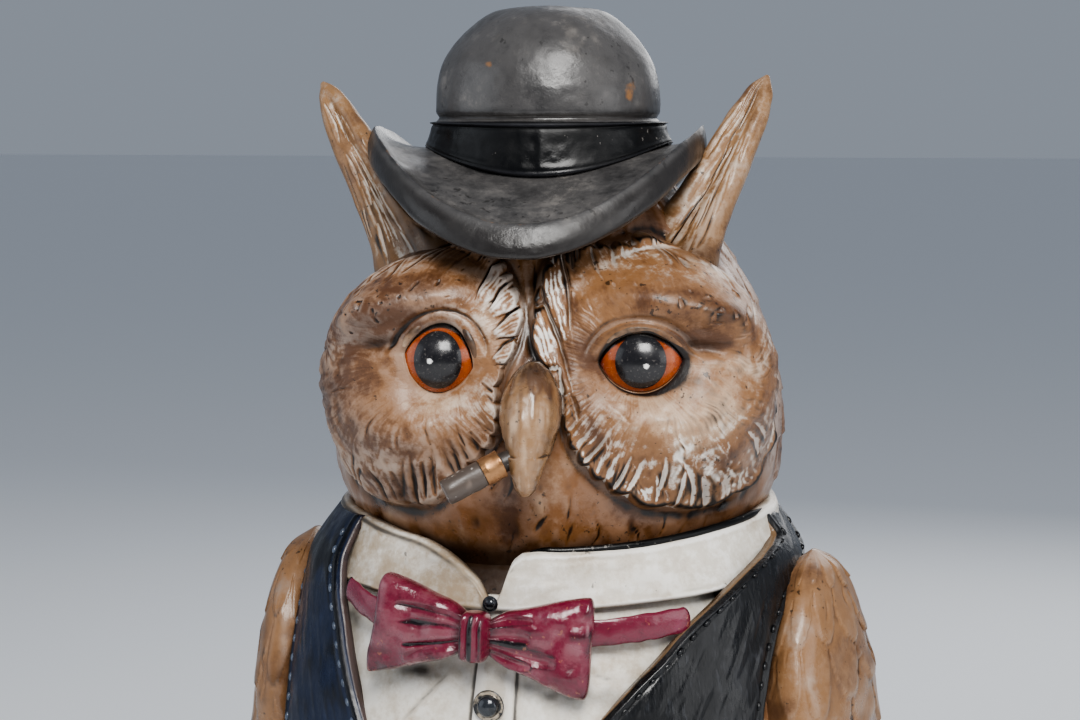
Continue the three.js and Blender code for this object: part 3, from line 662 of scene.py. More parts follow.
def buildHead():
    u = np.linspace(-1, 1, headForm["columns"], endpoint=False)[None, :]
    theta = np.pi * (0.52 * u + 0.48 * u**3)  # closer together on the face
    z = down(headForm["rows"], headForm["bottom"], headForm["top"]) + 0 * theta
    theta = theta + 0 * z
    s = headForm["girth"] * theta
    sunk, wedge = np.zeros_like(z), np.zeros_like(z)
    for disc in faceDiscs.values():
        ds, dz = disc["side"] * (s - disc["eyeAt"]), z - eyeLevel
        share = np.hypot(ds, dz) / roundCurve(np.degrees(np.arctan2(dz, ds)), disc["rim"])
        sunk = np.maximum(sunk, 1 - ease(share, 0.86, 0.97))
        wedge = np.maximum(wedge, bell(share, 1.03, 0.05))
    rng = np.random.default_rng(5)
    cuts = np.zeros_like(z)
    for _ in range(34):  # short chisel cuts under the chin
        at, low = rng.uniform(-50, 50), rng.uniform(182, 204)
        start = at + rng.uniform(-4, 4), low + rng.uniform(2, 8)
        cut = groove(s, z, start, (at, low), rng.uniform(0.3, 0.85), rng.uniform(-0.3, 0.3))
        cuts = np.maximum(cuts, cut * rng.uniform(0.15, 1))
    for at in (-6, -2.6, 0.8):  # the parting on the forehead
        cuts = np.maximum(cuts, 0.35 * groove(s, z, (at * 1.4, 250), (at * 0.2 - 1.6, 231), 0.5, 0.04))
    flat = places(s, z * 0.6, 0)
    folds = 1.1 * lumps(flat, 6.5, 7) + 0.5 * lumps(flat, 3.1, 8) + 0.22 * lumps(flat, 1.5, 9)
    front = ease(np.cos(theta), -0.05, 0.35)
    drop, aside = 262 - z + 1.6 * lumps(flat, 9, 14), s + 1.6 * lumps(flat, 11, 15)
    feather, shaft, along = scales(drop, aside, 9.5, 10.5)
    barbs = 0.12 * np.sin((np.abs(shaft) * 30 + along * 16)) * (feather > 0)
    plumage = (1.15 * feather**1.4 + barbs - 0.3 * bell(shaft, 0, 0.035)) * (1 - front)
    lift = plumage + front * folds * 0.5 - 0.8 * cuts * front - 0.6 * wedge * front - 5.5 * sunk
    points = turnHead(headPoint(s, z, lift))
    forehead = spot(s, z, (-0.5, 243), (7, 12))
    beside = ease(np.abs(s), 44, 56) * ease(z, 196, 206)
    chalk = 0.1 + 0.35 * forehead + 0.2 * (1 - front) * along + 1.4 * beside * front
    shade = 0.55 * wedge * front + 0.5 * spot(s, z, (-1, 229), (5, 5)) + 0.75 * ease(z, 190, 185)
    tone = 0.55 * folds * front + 0.8 * forehead - 0.25 * ease(z, 206, 196) * front
    return wrapped("head_form", points, chestnutPaint, "feather_paint", ["head_casting"], depth=0.26,
                   passes=9, chalk=chalk, shade=np.clip(shade, 0, 0.85), tone=tone)


def eyeMaterial():
    paint, tree, shader, where = newPaint("eyePaint")
    ring = put(tree, "ShaderNodeValToRGB", {0: mark(tree, "gaze")})
    stops = ring.color_ramp.elements
    stops[0].color, stops[1].color = color("161517"), color("4a0c12")
    stops[1].position = 1.0
    for place, tone in ((0.3, "19171a"), (0.485, "1b1a1c"), (0.497, "120a08"), (0.508, "8a3d14"),
                        (0.6, "a04d1b"), (0.72, "98431a"), (0.8, "5a1713")):
        stops.new(place).color = color(tone)
    streaks = span(tree, grain(tree, where, 700.0, 4.0, 0.7, 0.4), 0.46, 0.7)
    outside = span(tree, mark(tree, "gaze"), 0.5, 0.52)
    streaks = maths(tree, "MULTIPLY", streaks, outside)
    iris = blendColors(tree, maths(tree, "MULTIPLY", streaks, 0.4), ring.outputs[0], color("5d170b"))
    dusty = span(tree, grain(tree, where, 1700.0, 2.0, 0.6), 0.6, 0.7)
    iris = blendColors(tree, maths(tree, "MULTIPLY", dusty, 0.12), iris, color("c9c0b6"))
    # near-black under the upper lid as a painted shadow, and a dark painted line along the lower lid
    lined = blendColors(tree, mark(tree, "lined"), iris, color("050404"))
    dotted = blendColors(tree, mark(tree, "dot"), lined, color("f4f2ee"))
    varnished = useGroup(tree, varnishGroup, {"Where": where, "Gloss": 0.16, "Dull": 0.36,
                                              "Patch Scale": 190.0})
    feed(tree, shader, {"Base Color": dotted, "Roughness": varnished["Roughness"], "Coat Weight": 0.35,
                        "Coat Roughness": 0.1})
    bumped(tree, shader, varnished["Height"], 0.2)
    return paint


eyePaint = eyeMaterial()


def tiltedEye(disc, ds, dz):
    a = np.radians(disc["eye"][3])
    return ds * np.cos(a) + dz * np.sin(a), dz * np.cos(a) - ds * np.sin(a)


def buildEye(name, disc, pupil, dotAt):
    rows, columns = 110, 120
    polar = down(rows, 0.012, np.pi - 0.02)
    turn = around(columns)
    rx, ry, rz = eyeForm["radii"]
    ds, dz = rx * np.sin(polar) * np.cos(turn), rz * np.sin(polar) * np.sin(turn)
    gaze = np.hypot((ds - pupil[2]) / pupil[0], (dz - 0.1) / pupil[1]) * 0.5
    x, z = tiltedEye(disc, ds, dz)
    upper, lower = lidHeight(x, disc["eye"], True) - z, lidHeight(x, disc["eye"], False) + z
    # a painted shadow just under the upper lid, and a dark line along the lower lid
    lined = np.clip(1 - ease(upper, 0.85, 1.2) + 1 - ease(lower, 0.3, 0.55), 0, 1)
    dot = 1 - ease(np.hypot(ds - dotAt[0], dz - dotAt[1]), 0.45, 0.62)
    y = eyeForm["y"] - ry * np.cos(polar) - 0.3 * np.exp(-((gaze * 2) ** 6)) * (polar < 1.5)
    points = eyePlace(disc, ds, y, dz)
    return wrapped(name + "_eyeball", turnHead(points), eyePaint, "eye_paint", [name + "_eye"],
                   gaze=gaze, lined=lined, dot=dot * (polar < 1.5))


def buildLid(name, disc, upper, thick, out, tone):
    # a roll of clay along one lid, out mm off the edge of the eye
    steps, wider = 130, 1 + 0.05 * out
    x = -disc["eye"][0] * np.cos(np.linspace(0.0, np.pi, steps)) * wider
    z = (lidHeight(x / wider, disc["eye"], upper) + out) * (1 if upper else -1)
    a = np.radians(disc["eye"][3])
    ds, dz = x * np.cos(a) - z * np.sin(a), z * np.cos(a) + x * np.sin(a)
    forward = 0.45 * thick + (0.12 * out if upper else 0)
    path = eyePlace(disc, ds, eyeFront(ds, dz) - forward, dz)
    radii = thick * (0.28 + 0.72 * np.sin(np.linspace(0.02, np.pi - 0.02, steps)) ** 0.6)
    ring = tube(path, radii, 22)
    ring = ring + 0.1 * lumps(ring, 1.5, disc["seed"])[..., None]
    wrapped(name, turnHead(ring), featherPaint, "feather_paint", passes=8, depth=0.3,
            chalk=0.4, shade=0.0, tone=tone)


beakForm = {
    "middle": -1.4,
    "width": [[200.2, 0.9], [201.2, 1.9], [203, 2.7], [207, 4.0], [211.5, 5.4], [215.5, 6.2], [219.5, 5.9],
              [222.8, 4.7], [225.2, 3.0], [226.6, 1.2]],
    "front": [[200.2, -58.6], [201.2, -59.4], [204, -60.4], [209, -61.0], [214, -60.9], [218.5, -59.6],
              [222.8, -57], [226.6, -53.2]],
}


def buildBeak():
    rows, columns = 120, 130
    z = down(rows, beakForm["width"][0][0], beakForm["width"][-1][0])
    turn = around(columns)
    width, front = curve(z, beakForm["width"]), curve(z, beakForm["front"])
    back = np.minimum(np.where(z > 208, -46.0, front + 2.4 + width * 1.3), front + 3.2 + width * 2.2)
    deep = np.where(np.cos(turn) > 0, (back - front) * 0.62, (back - front) * 0.38)
    x = width * np.sign(np.sin(turn)) * np.abs(np.sin(turn)) ** 0.9
    y = front + (back - front) * 0.62 - deep * np.sign(np.cos(turn)) * np.abs(np.cos(turn)) ** 1.12
    points = places(x + beakForm["middle"] - 0.035 * (216 - z), y, z)
    streak = lumps(points * [2.6, 1, 0.3], 2.4, 31) + 0.6 * lumps(points * [4, 1, 0.5], 2.0, 32)
    points = points - normalsOf(points, True) * (0.11 * streak + 0.12 * lumps(points, 1.3, 8))[..., None]
    shade = np.clip(0.8 * ease(np.abs(np.sin(turn)), 0.93, 1.0) + 0.55 * ease(z, 222, 226)
                    + 0.3 * bell(np.abs(np.sin(turn)), 0.75, 0.1) + 0 * z, 0, 0.85)
    return wrapped("beak_form", turnHead(points), beakPaint, "beak_paint", ["beak"], depth=0.12,
                   chalk=0.06, shade=shade, tone=0.8 * streak - 0.6 * ease(z, 214, 225))


for key, disc in faceDiscs.items():
    buildFaceDisc(key + "_face_disc", disc)
    buildLid(key + "_lower_lid", disc, False, 0.62, 0.3, 0.6)
buildLid("left_upper_lid", faceDiscs["left"], True, 1.05, 0.75, 0.7)
buildLid("left_lid_fold", faceDiscs["left"], True, 0.55, 2.3, 0.4)
buildLid("right_upper_lid", faceDiscs["right"], True, 1.3, 1.0, 0.6)
buildEye("left", faceDiscs["left"], (5.2, 5.5, 0.1), (1.3, -0.7))
buildEye("right", faceDiscs["right"], (4.9, 5.9, 0.0), (1.5, 0.0))
buildHead()
buildBeak()
print("head, face discs, eyes and beak")


# hat, ribbon and ear tufts

def hatPaintOf():
    paint, tree, shader, where = newPaint("hatPaint")
    layers = useGroup(tree, washGroup, {
        "Where": where, "Relief": mark(tree, "relief"), "Tone": mark(tree, "tone"), "Coat": color("4c4a49"),
        "Deep Coat": color("2c2b2b"), "Pale Coat": color("77726d"), "Wash": color("100f10"),
        "Chalk": color("8f8a85"), "Wash Amount": 0.8, "Chalk Amount": mark(tree, "chalk"), "Mottle": 0.6,
    })
    shaded = blendColors(tree, mark(tree, "shade"), layers["Color"], color("17120f"))
    flecks = useGroup(tree, speckGroup, {"Where": where, "Color": shaded, "Speck": color("191614"),
                                         "Scale": 520.0, "Amount": 0.6, "Limit": 0.68})
    ragged = maths(tree, "SUBTRACT", grain(tree, where, 420.0, 3.0), 0.62)
    chip = maths(tree, "ADD", mark(tree, "chip"), ragged)
    worn = blendColors(tree, span(tree, chip, 0.2, 0.6), flecks["Color"], color("86603c"))
    coatOf = useGroup(tree, varnishGroup, {"Where": where, "Gloss": 0.26, "Dull": 0.48, "Patch Scale": 60.0})
    feed(tree, shader, {"Base Color": worn, "Roughness": coatOf["Roughness"], "Coat Weight": 0.15,
                        "Coat Roughness": 0.18})
    bumped(tree, shader, coatOf["Height"], 0.3, after=bumped(tree, shader, layers["Height"], 0.4))
    return paint


hatPaint = hatPaintOf()
ribbonPaint = castPaint("ribbonPaint", "0a0a0b", "050506", "101012", "020202", "35353a",
                        1.0, 0.2, 0.5, 0.4, 0.05, speck=("8f8a84", 900.0, 0.55, 0.71))
ribbonPaint.node_tree.nodes["Principled BSDF"].inputs["Specular IOR Level"].default_value = 0.3

# crown: share, radius, height; brim: share, place from crown to edge, lift
hatForm = {
    "crownAt": -2.0, "crownRadius": 25, "bandHeight": 275.7, "lipAt": 0.54,
    "brimAt": (-4.0, -3.0), "half": (36.4, 47.5),
    "level": 265.5, "curl": (6.5, 14.9),
    "crown": [[0, 0.5, 300], [0.14, 10.5, 298.9], [0.28, 17.0, 295.2], [0.42, 22.0, 289.2], [0.56, 24.0, 283],
              [0.72, 24.5, 276], [0.86, 24.8, 270], [1, 25, 266]],
    "brim": [[0, 0, 1.6], [0.1, 0.14, 0.7], [0.26, 0.5, 0.2], [0.4, 0.78, 0.7], [0.49, 0.885, 1.9],
             [0.54, 0.925, 2.5], [0.59, 0.965, 1.7], [0.68, 1.02, -1.0], [0.76, 1.0, -3.6],
             [0.84, 0.86, -4.8], [0.92, 0.4, -3.0], [1, -0.4, -2]],
}


def brimPlace(share, turn, lift):
    (bx, by), (halfX, halfY) = hatForm["brimAt"], hatForm["half"]
    radius = hatForm["crownRadius"]
    innerX, innerY = hatForm["crownAt"] + radius * np.sin(turn), -radius * np.cos(turn)
    x = innerX + (bx + halfX * np.sin(turn) - innerX) * share
    y = innerY + (by - halfY * np.cos(turn) - innerY) * share
    z = hatForm["level"] + hatForm["curl"][0] * ((x - bx) / halfX) ** 2
    z = z - hatForm["curl"][1] * ((y - by) / halfY) ** 2 + lift
    return x, y, z


def buildHat(crownRows=96, brimRows=126, columns=300):
    turn = around(columns)
    t = down(crownRows)
    crown = hatForm["crown"]
    radius = curve(t, [[a, r] for a, r, z in crown])
    z = curve(t, [[a, z] for a, r, z in crown]) + 0 * turn
    foot, crownFoot = brimPlace(0, turn, 1.6)[2], crown[-1][2]
    z = z + (foot - crownFoot) * ease(z, 276, crownFoot)
    top = places(hatForm["crownAt"] + radius * np.sin(turn), -radius * np.cos(turn), z)
    t = down(brimRows)[1:]
    share = curve(t, [[a, s] for a, s, h in hatForm["brim"]])
    lift = curve(t, [[a, h] for a, s, h in hatForm["brim"]])
    x, y, z = brimPlace(share, turn, lift)
    points = np.concatenate([top, places(x, y, z)])
    uneven = 0.45 * lumps(points, 13, 3) + 0.16 * lumps(points, 5, 4) + 0.05 * lumps(points, 1.7, 6)
    band = bell(points[..., 2], hatForm["bandHeight"], 0.7) * (np.arange(len(points)) < crownRows)[:, None]
    points = points + normalsOf(points, True) * (0.8 * band - uneven)[..., None]
    # the brim's outer face below the lip is painted dark: painted shade
    brimFaceShade = np.r_[np.zeros(crownRows), ease(t[:, 0], 0.56, 0.63)][:, None] + 0 * turn
    # the lip of the brim gets extra chalk as a pale line: a painted highlight
    lipHighlight = np.r_[np.zeros(crownRows), bell(t[:, 0], hatForm["lipAt"], 0.018)][:, None] + 0 * turn
    wide = points[..., 0], points[..., 2]
    chip = 0.62 * spot(*wide, (16.5, 281), (1.3, 3.2), -10) + 0.62 * spot(*wide, (-13, 287), (1.0, 1.1))
    chip = (chip + 0.3 * lipHighlight) * (points[..., 1] < 0)
    shade = np.clip(0.92 * band + 0.82 * brimFaceShade, 0, 0.95)
    # chalk: dry-brush all over, plus the painted highlight along the lip
    return wrapped("bowler", turnHead(points), hatPaint, "hat_paint", ["bowler_hat"], depth=0.4, passes=12,
                   chalk=0.3 + 0.55 * lipHighlight, shade=shade, chip=chip)


def buildRibbon(rows=50, columns=290):
    turn = around(columns)
    t = down(rows)
    radius = curve(t, [[0, 24.4], [0.05, 26.6], [0.14, 26.9], [0.3, 26.5], [0.6, 25.9], [0.84, 25.5],
                       [0.88, 25.35], [0.93, 26.0], [0.97, 25.8], [1, 24.2]])
    foot = brimPlace(0.05, turn, 0.9)[2]
    z = foot + (274.9 - foot) * t
    twist = 0.22 * lumps(places(turn * 25 + 0 * t, z * 0.5, 0 * z), 5, 9)
    twist += 0.08 * lumps(places(turn * 25 + 0 * t, z, 0 * z), 1.6, 12)
    radius = radius + twist * np.sin(np.pi * t)
    points = places(hatForm["crownAt"] + radius * np.sin(turn), -radius * np.cos(turn), z)
    # pale chalk lines along the ribbon's top and bottom edges: a painted highlight
    rim = bell(t, 0.93, 0.04) + 0.8 * bell(t, 0.06, 0.05) + 0 * turn
    return wrapped("ribbon_band", turnHead(points), ribbonPaint, "ribbon_paint", ["hat_ribbon"],
                   depth=0.25, chalk=0.7 * rim, shade=0.0)


# base and tip: x of the middle between the ears, half their distance, y, z
earForm = {
    "base": (-1.6, 28.6, -18, 248), "tip": (-3.6, 48.9, 0, 284.4), "length": 45,
    "girth": [[-0.15, 12.5], [-0.05, 11.0], [0.05, 9.2], [0.22, 7.3], [0.45, 6.0], [0.67, 5.1], [0.83, 3.9],
              [0.94, 2.3], [1, 0.5]],
}


def buildEar(key, seed, rows=174, columns=168):
    side = sideOf[key]
    bx, bs, by, bz = earForm["base"]
    tx, ts, ty, tz = earForm["tip"]
    base, tip = np.array([bx + side * bs, by, bz]), np.array([tx + side * ts, ty, tz])
    axis = (tip - base) / np.linalg.norm(tip - base)
    front = np.array([-0.3 if side > 0 else -0.5, -1.0, 0.1])
    front = front - axis * (front @ axis)
    front /= np.linalg.norm(front)
    out = np.cross(axis, front) * side
    length = earForm["length"]
    rise = down(rows, -0.15)
    turn = around(columns)  # 0 is the front
    girth = curve(rise, earForm["girth"])
    facing = ease(np.cos(turn), 0.15, 0.9)
    across = np.sin(turn) + 0.1
    s, along = across * girth, rise * length
    bowl = bell(across, 0, 0.5) * facing * ease(rise, 0.97, 0.75)
    lines = np.zeros_like(s)
    rng = np.random.default_rng(seed)
    for _ in range(34):  # carved lines that run up the tuft and fan out at its foot
        at, low = rng.uniform(-0.9, 0.9), rng.uniform(-6, 30)
        high = low + rng.uniform(6, 16)
        wide = [float(curve(min(place, 44) / length, earForm["girth"])) for place in (low, high)]
        cut = groove(s, along, (at * wide[0], low), (at * wide[1] * 0.85, high), rng.uniform(0.3, 0.75),
                     rng.uniform(-0.05, 0.05))
        lines = np.maximum(lines, cut * rng.uniform(0.35, 1))
    knobs = lumps(places(s * 1.6, along * 0.7, np.cos(turn) * 4 + 0 * s), 2.6, seed)
    pull = -2.6 * bowl - 0.8 * lines * (0.3 + 0.7 * facing) + 0.28 * knobs
    aside = girth * 0.95 * np.sin(turn) * (1 + pull / (girth + 2))
    ahead = girth * 0.66 * np.cos(turn) + pull * np.cos(turn) * 0.8
    points = base + axis * along[..., None] + out * aside[..., None] + front * ahead[..., None]
    points[..., 0] += side * 2 * (rise - rise**2)
    chalk = np.clip(0.16 + (0.6 if side > 0 else 1.5) * bowl + 0.2 * facing, 0, 1.4)
    shade = 0.35 * ease(rise, 0.12, -0.05) + 0.1 * (1 - facing)
    return wrapped(key + "_ear", turnHead(points), tuftPaint, "wing_paint", [key + "_ear_tuft"],
                   depth=0.25, passes=9, chalk=chalk, shade=shade)


buildHat()
buildRibbon()
buildEar("left", 41)
buildEar("right", 52)
print("hat, ribbon and ear tufts")


# cigar and its band

def foilPaintOf():
    paint, tree, shader, where = newPaint("cigarFoil")
    worn = span(tree, grain(tree, where, 230.0, 3.0, 0.6), 0.46, 0.74)
    tone = blendColors(tree, worn, color("a97f5a"), color("6b4526"))
    tone = blendColors(tree, mark(tree, "shade"), tone, color("1c0f08"))
    rough = useGroup(tree, varnishGroup, {"Where": where, "Gloss": 0.2, "Dull": 0.5, "Patch Scale": 300.0})
    feed(tree, shader, {"Base Color": tone, "Metallic": 0.75, "Roughness": rough["Roughness"]})
    bumped(tree, shader, rough["Height"], 0.3)
    return paint


cigarPaint = castPaint("cigarPaint", "7a6c62", "5f5249", "978a80", "120d0a", "a59d97",
                       0.6, 0.26, 0.5, 0.3, 0.12, speck=("cfc8c0", 800.0, 0.5, 0.67))
foilPaint = foilPaintOf()


def buildCigar(steps=70):
    tip, mouth = np.array([-17.8, -60.2, 201.0]), np.array([-3.0, -56.4, 208.8])
    length = np.linalg.norm(mouth - tip)

    def turnedPiece(name, profile, paint, slot, stands, chalk, shade):
        # profile as [distance from the tip, radius]
        stops = np.linspace(0, 1, steps)
        along = np.interp(stops, np.linspace(0, 1, len(profile)), [a for a, r in profile])
        radii = np.interp(stops, np.linspace(0, 1, len(profile)), [r for a, r in profile])
        path = tip + (mouth - tip) / length * along[:, None]
        straight = tip + (mouth - tip) / length * stops[:, None]
        ring = tube(straight, 1.0, 60) - straight[:, None]
        points = path[:, None] + ring * radii[:, None, None]
        points = points + ring * 0.12 * lumps(points, 1.8, 17)[..., None]
        wrapped(name, turnHead(points), paint, slot, stands, chalk=chalk, shade=shade + 0 * points[..., 0])

    turnedPiece("cigar_roll", [(0.25, 0.3), (0.3, 2.1), (0, 2.35), (0.25, 2.68), (1.2, 2.72), (8.4, 2.7),
                               (8.9, 2.3), (12.6, 2.3), (12.9, 2.0), (length, 1.8)],
                cigarPaint, "cigar_paint", ["cigar"], 0.35, ease(np.arange(steps), 50, 58)[:, None] * 0.8)
    turnedPiece("cigar_ring", [(8.6, 2.2), (8.6, 2.85), (9.6, 2.98), (11.4, 2.9), (12.8, 2.95), (12.8, 2.2)],
                foilPaint, "cigar_band_foil", ["cigar_band"], 0.0,
                0.8 * ease(np.abs(np.arange(steps) - 35), 24, 33)[:, None])


buildCigar()
print("cigar")


# clothes round the torso

torsoForm = [[12.4, 38], [30, 45], [52, 51.5], [82, 57], [115, 60], [143, 58.5], [158, 55], [169, 50.5],
             [177.5, 46], [183, 42]]
# girth: height, radius; lapels and armholes: height, degrees from the front; hem: degrees, height
waistcoatForm = {
    "bottom": 44, "backBottom": 62, "top": 191, "thick": 2.7,
    "girth": [[44, 53], [62, 57.5], [84, 60.8], [115, 63.2], [143, 62], [158, 59.7], [169, 57.4],
              [177, 55.9], [183, 54.2], [187, 51.6], [191, 48.6]],
    "lapels": {
        "left": [[44, 0.25], [104, 0.3], [106, 1.8], [131, 12.9], [155, 25.0], [164.5, 35.4], [175, 49.9],
                 [183, 68], [187, 84]],
        "right": [[44, 0.25], [106, 0.5], [121, 10.0], [139, 20.2], [152, 26.9], [166, 35.1], [176, 41.0],
                  [189.5, 46.3]],
    },
    "armhole": [[44, 95.7], [86, 95.7], [93, 91], [97, 76], [120, 62], [150, 61], [164, 67], [172, 73.5],
                [177, 80], [180, 89], [183, 99], [187, 105], [191, 108]],
    "backArmhole": [[62, 96.3], [90, 96.3], [97, 108], [108, 120], [140, 130], [172, 123], [181, 112],
                    [186, 105.5], [191, 108.5]],
    "hem": [[0, 56], [6, 52], [14.5, 45.5], [24, 50], [40, 57], [70, 61], [100, 62]],
}


def roundTorso(degrees, z, radius):
    theta = np.radians(degrees)
    return places(radius * np.sin(theta), -radius * np.cos(theta) * depthShare, z + 0 * theta)


linenPaint = castPaint("linenPaint", "d3ccbf", "a9957c", "e6e1d7", "1b120b", "efece6",
                       0.85, 0.3, 0.5, 0.45, 0.1, speck=("2a1c12", 420.0, 0.6, 0.74))
tiePaint = castPaint("tiePaint", "6e1730", "430b1a", "83304a", "0b0405", "d8c4c0",
                     1.0, 0.06, 0.3, 0.7, 0.6, speck=("a86a50", 700.0, 0.4, 0.68), grit=0.75)


def clothPaint(name, coat, deep, pale, brush=0.55, lacquer=0.26):
    # painted cloth with upright brush strokes, a pale painted sheen along them, and worn edges
    paint, tree, shader, where = newPaint(name)
    layers = useGroup(tree, washGroup, {
        "Where": where, "Relief": mark(tree, "relief"), "Coat": color(coat), "Deep Coat": color(deep),
        "Pale Coat": color(pale), "Wash": color("030304"), "Chalk": color("5a5a5c"), "Wash Amount": 0.9,
        "Chalk Amount": mark(tree, "chalk"), "Mottle": 0.6,
    })
    brushed = grain(tree, stretched(tree, where, (1.0, 1.0, 0.16)), 900.0, 3.0, 0.6)
    # pale streaks along the brush strokes: a painted sheen
    streaks = maths(tree, "MULTIPLY", span(tree, brushed, 0.56, 0.7), 0.2 * brush)
    tone = blendColors(tree, streaks, layers["Color"], color("6d7078"))
    frayed = maths(tree, "MULTIPLY", mark(tree, "shade"), span(tree, grain(tree, where, 120.0), 0.25, 0.5))
    edged = blendColors(tree, frayed, tone, color("83684c"))
    coatOf = useGroup(tree, varnishGroup, {"Where": where, "Gloss": 0.24, "Dull": 0.5, "Patch Scale": 120.0})
    feed(tree, shader, {"Base Color": edged, "Roughness": coatOf["Roughness"], "Specular IOR Level": 0.34,
                        "Coat Weight": lacquer, "Coat Roughness": 0.1})
    bumped(tree, shader, brushed, brush, after=bumped(tree, shader, coatOf["Height"], 0.3))
    return paint


blackCloth = clothPaint("blackCloth", "08090c", "040507", "12151b")
navyCloth = clothPaint("navyCloth", "0d1a33", "081022", "18294a", 0.15, 0.08)
# thread for the navy front, painted pale to stand in for the highlights in the stitch pits
threadHighlight = clothPaint("threadHighlight", "4d5665", "2a303b", "7d8794", 0.3)


def waistcoatAt(key, u, v):
    # u from the front edge to the armhole, v from the hem up
    bottom, top = waistcoatForm["bottom"], waistcoatForm["top"]
    z = bottom + v * (top - bottom)
    start, end = curve(z, waistcoatForm["lapels"][key]), curve(z, waistcoatForm["armhole"])
    degrees = start + (end - start) * u
    z = z + (curve(degrees, waistcoatForm["hem"]) - bottom) * (1 - v) ** 3
    radius = curve(z, waistcoatForm["girth"])
    return degrees, z, radius, start, end


def buildWaistcoatFront(key, paint, rows=240, columns=100):
    side = sideOf[key]
    u, v = down(columns).T, down(rows)
    u = 0.6 * u + 0.2 - 0.2 * np.cos(np.pi * u)  # closer together at both edges
    degrees, z, radius, start, end = waistcoatAt(key, u, v)
    girth = np.radians(1) * radius
    fromFront, fromArm = (degrees - start) * girth, (end - degrees) * girth
    edge = np.minimum(fromFront * (z > 104) + 9 * (z <= 104), fromArm)  # no rolled edge below the opening
    rolled = -1.0 * bell(edge, 0, 0.7) + 0.25 * bell(edge, 1.3, 0.8)
    channel = -0.22 * bell(edge, 2.8, 0.8)
    flat = places(degrees * girth, z, 0 * z)
    turned = places(flat[..., 0] - 0.45 * z, z, 0 * z)
    uneven = 0.3 * lumps(flat, 16, 61) + 0.12 * lumps(flat, 5, 62)
    uneven = uneven + (0.16 if side > 0 else 0.05) * lumps(turned * [1, 0.22, 1], 1.5, 63)
    outer = roundTorso(side * degrees, z, radius + rolled + channel + uneven)
    inner = roundTorso(side * degrees, z, radius - waistcoatForm["thick"])
    trim = (0.75 if side > 0 else 0.3) * ease(fromFront, 0.2, 0.08) * (z > 106)
    return slab("waistcoat_" + key, outer, inner, paint, "waistcoat_paint", ["waistcoat_" + key + "_front"],
                chalk=0.06, shade=trim)


def buildWaistcoatBack(rows=130, columns=150):
    u, v = down(columns, -1).T, down(rows)
    bottom, top = waistcoatForm["backBottom"], waistcoatForm["top"]
    z = bottom + v * (top - bottom)
    backArm = curve(z, waistcoatForm["backArmhole"])
    degrees = 180 + u * (180 - backArm)
    radius = curve(z, waistcoatForm["girth"])
    flat = places(degrees, z, 0 * z)
    edge = (1 - np.abs(u)) * (180 - backArm) * np.radians(1) * radius
    rolled = -1.0 * bell(edge, 0, 0.7) - 0.35 * bell(edge, 2.6, 0.45)
    seam = -0.6 * bell(degrees, 180, 0.7)
    uneven = 0.3 * lumps(flat, 16, 64) + 0.1 * lumps(flat, 4, 65)
    outer = roundTorso(degrees, z, radius + rolled + seam + uneven)
    inner = roundTorso(degrees, z, radius - waistcoatForm["thick"])
    return slab("waistcoat_rear", outer, inner, blackCloth, "waistcoat_paint", ["waistcoat_back"], chalk=0.1,
                shade=0.0)


def buildStitchTree(paint):
    # raised thread: one small rounded bar at every marked point, along its line
    tree = bpy.data.node_groups.new("stitchRow", "GeometryNodeTree")
    tree.interface.new_socket("Geometry", in_out="INPUT", socket_type="NodeSocketGeometry")
    for label in ("Length", "Width"):
        tree.interface.new_socket(label, in_out="INPUT", socket_type="NodeSocketFloat")
    tree.interface.new_socket("Geometry", in_out="OUTPUT", socket_type="NodeSocketGeometry")
    given, out = tree.nodes.new("NodeGroupInput").outputs, tree.nodes.new("NodeGroupOutput")
    bar = put(tree, "GeometryNodeMeshIcoSphere", {"Radius": 0.5, "Subdivisions": 2}).outputs[0]
    sizes = {0: given["Width"], 1: given["Width"], 2: given["Length"]}
    size = put(tree, "ShaderNodeCombineXYZ", sizes).outputs[0]
    shaped = put(tree, "GeometryNodeTransform", {"Geometry": bar, "Scale": size}).outputs[0]
    along = put(tree, "GeometryNodeInputNamedAttribute", {"Name": "along"}, data_type="FLOAT_VECTOR")
    aim = put(tree, "FunctionNodeAlignRotationToVector", {"Vector": along.outputs[0]}, axis="Z").outputs[0]
    placed = put(tree, "GeometryNodeInstanceOnPoints", {"Points": given["Geometry"], "Instance": shaped,
                                                       "Rotation": aim}).outputs[0]
    real = put(tree, "GeometryNodeRealizeInstances", {"Geometry": placed}).outputs[0]
    painted = put(tree, "GeometryNodeSetMaterial", {"Geometry": real, "Material": paint}).outputs[0]
    feed(tree, out, {"Geometry": painted})
    return tree


stitchForm = {"spacing": 4.3, "length": 2.0, "width": 1.0, "inset": 2.8}


def stitchLine(key, edge):
    # evenly spaced places and directions along one sewn edge of a front
    v = np.linspace(0.2 if edge == "arm" else 0.44, 0.985, 900)
    degrees, z, radius, start, end = waistcoatAt(key, 0.0 if edge == "lapel" else 1.0, v)
    inset = np.degrees(stitchForm["inset"] / radius) * (1 if edge == "lapel" else -1)
    fits = end - start > np.degrees(9 / radius)
    line = roundTorso(sideOf[key] * (degrees + inset), z, radius - 0.12)[fits]
    walked = np.r_[0, np.cumsum(np.linalg.norm(np.diff(line, axis=0), axis=1))]
    stops = np.arange(1, walked[-1], stitchForm["spacing"])
    points = np.stack([np.interp(stops, walked, line[:, k]) for k in range(3)], -1)
    ahead = np.stack([np.interp(stops + 0.5, walked, line[:, k]) for k in range(3)], -1) - points
    return points, ahead


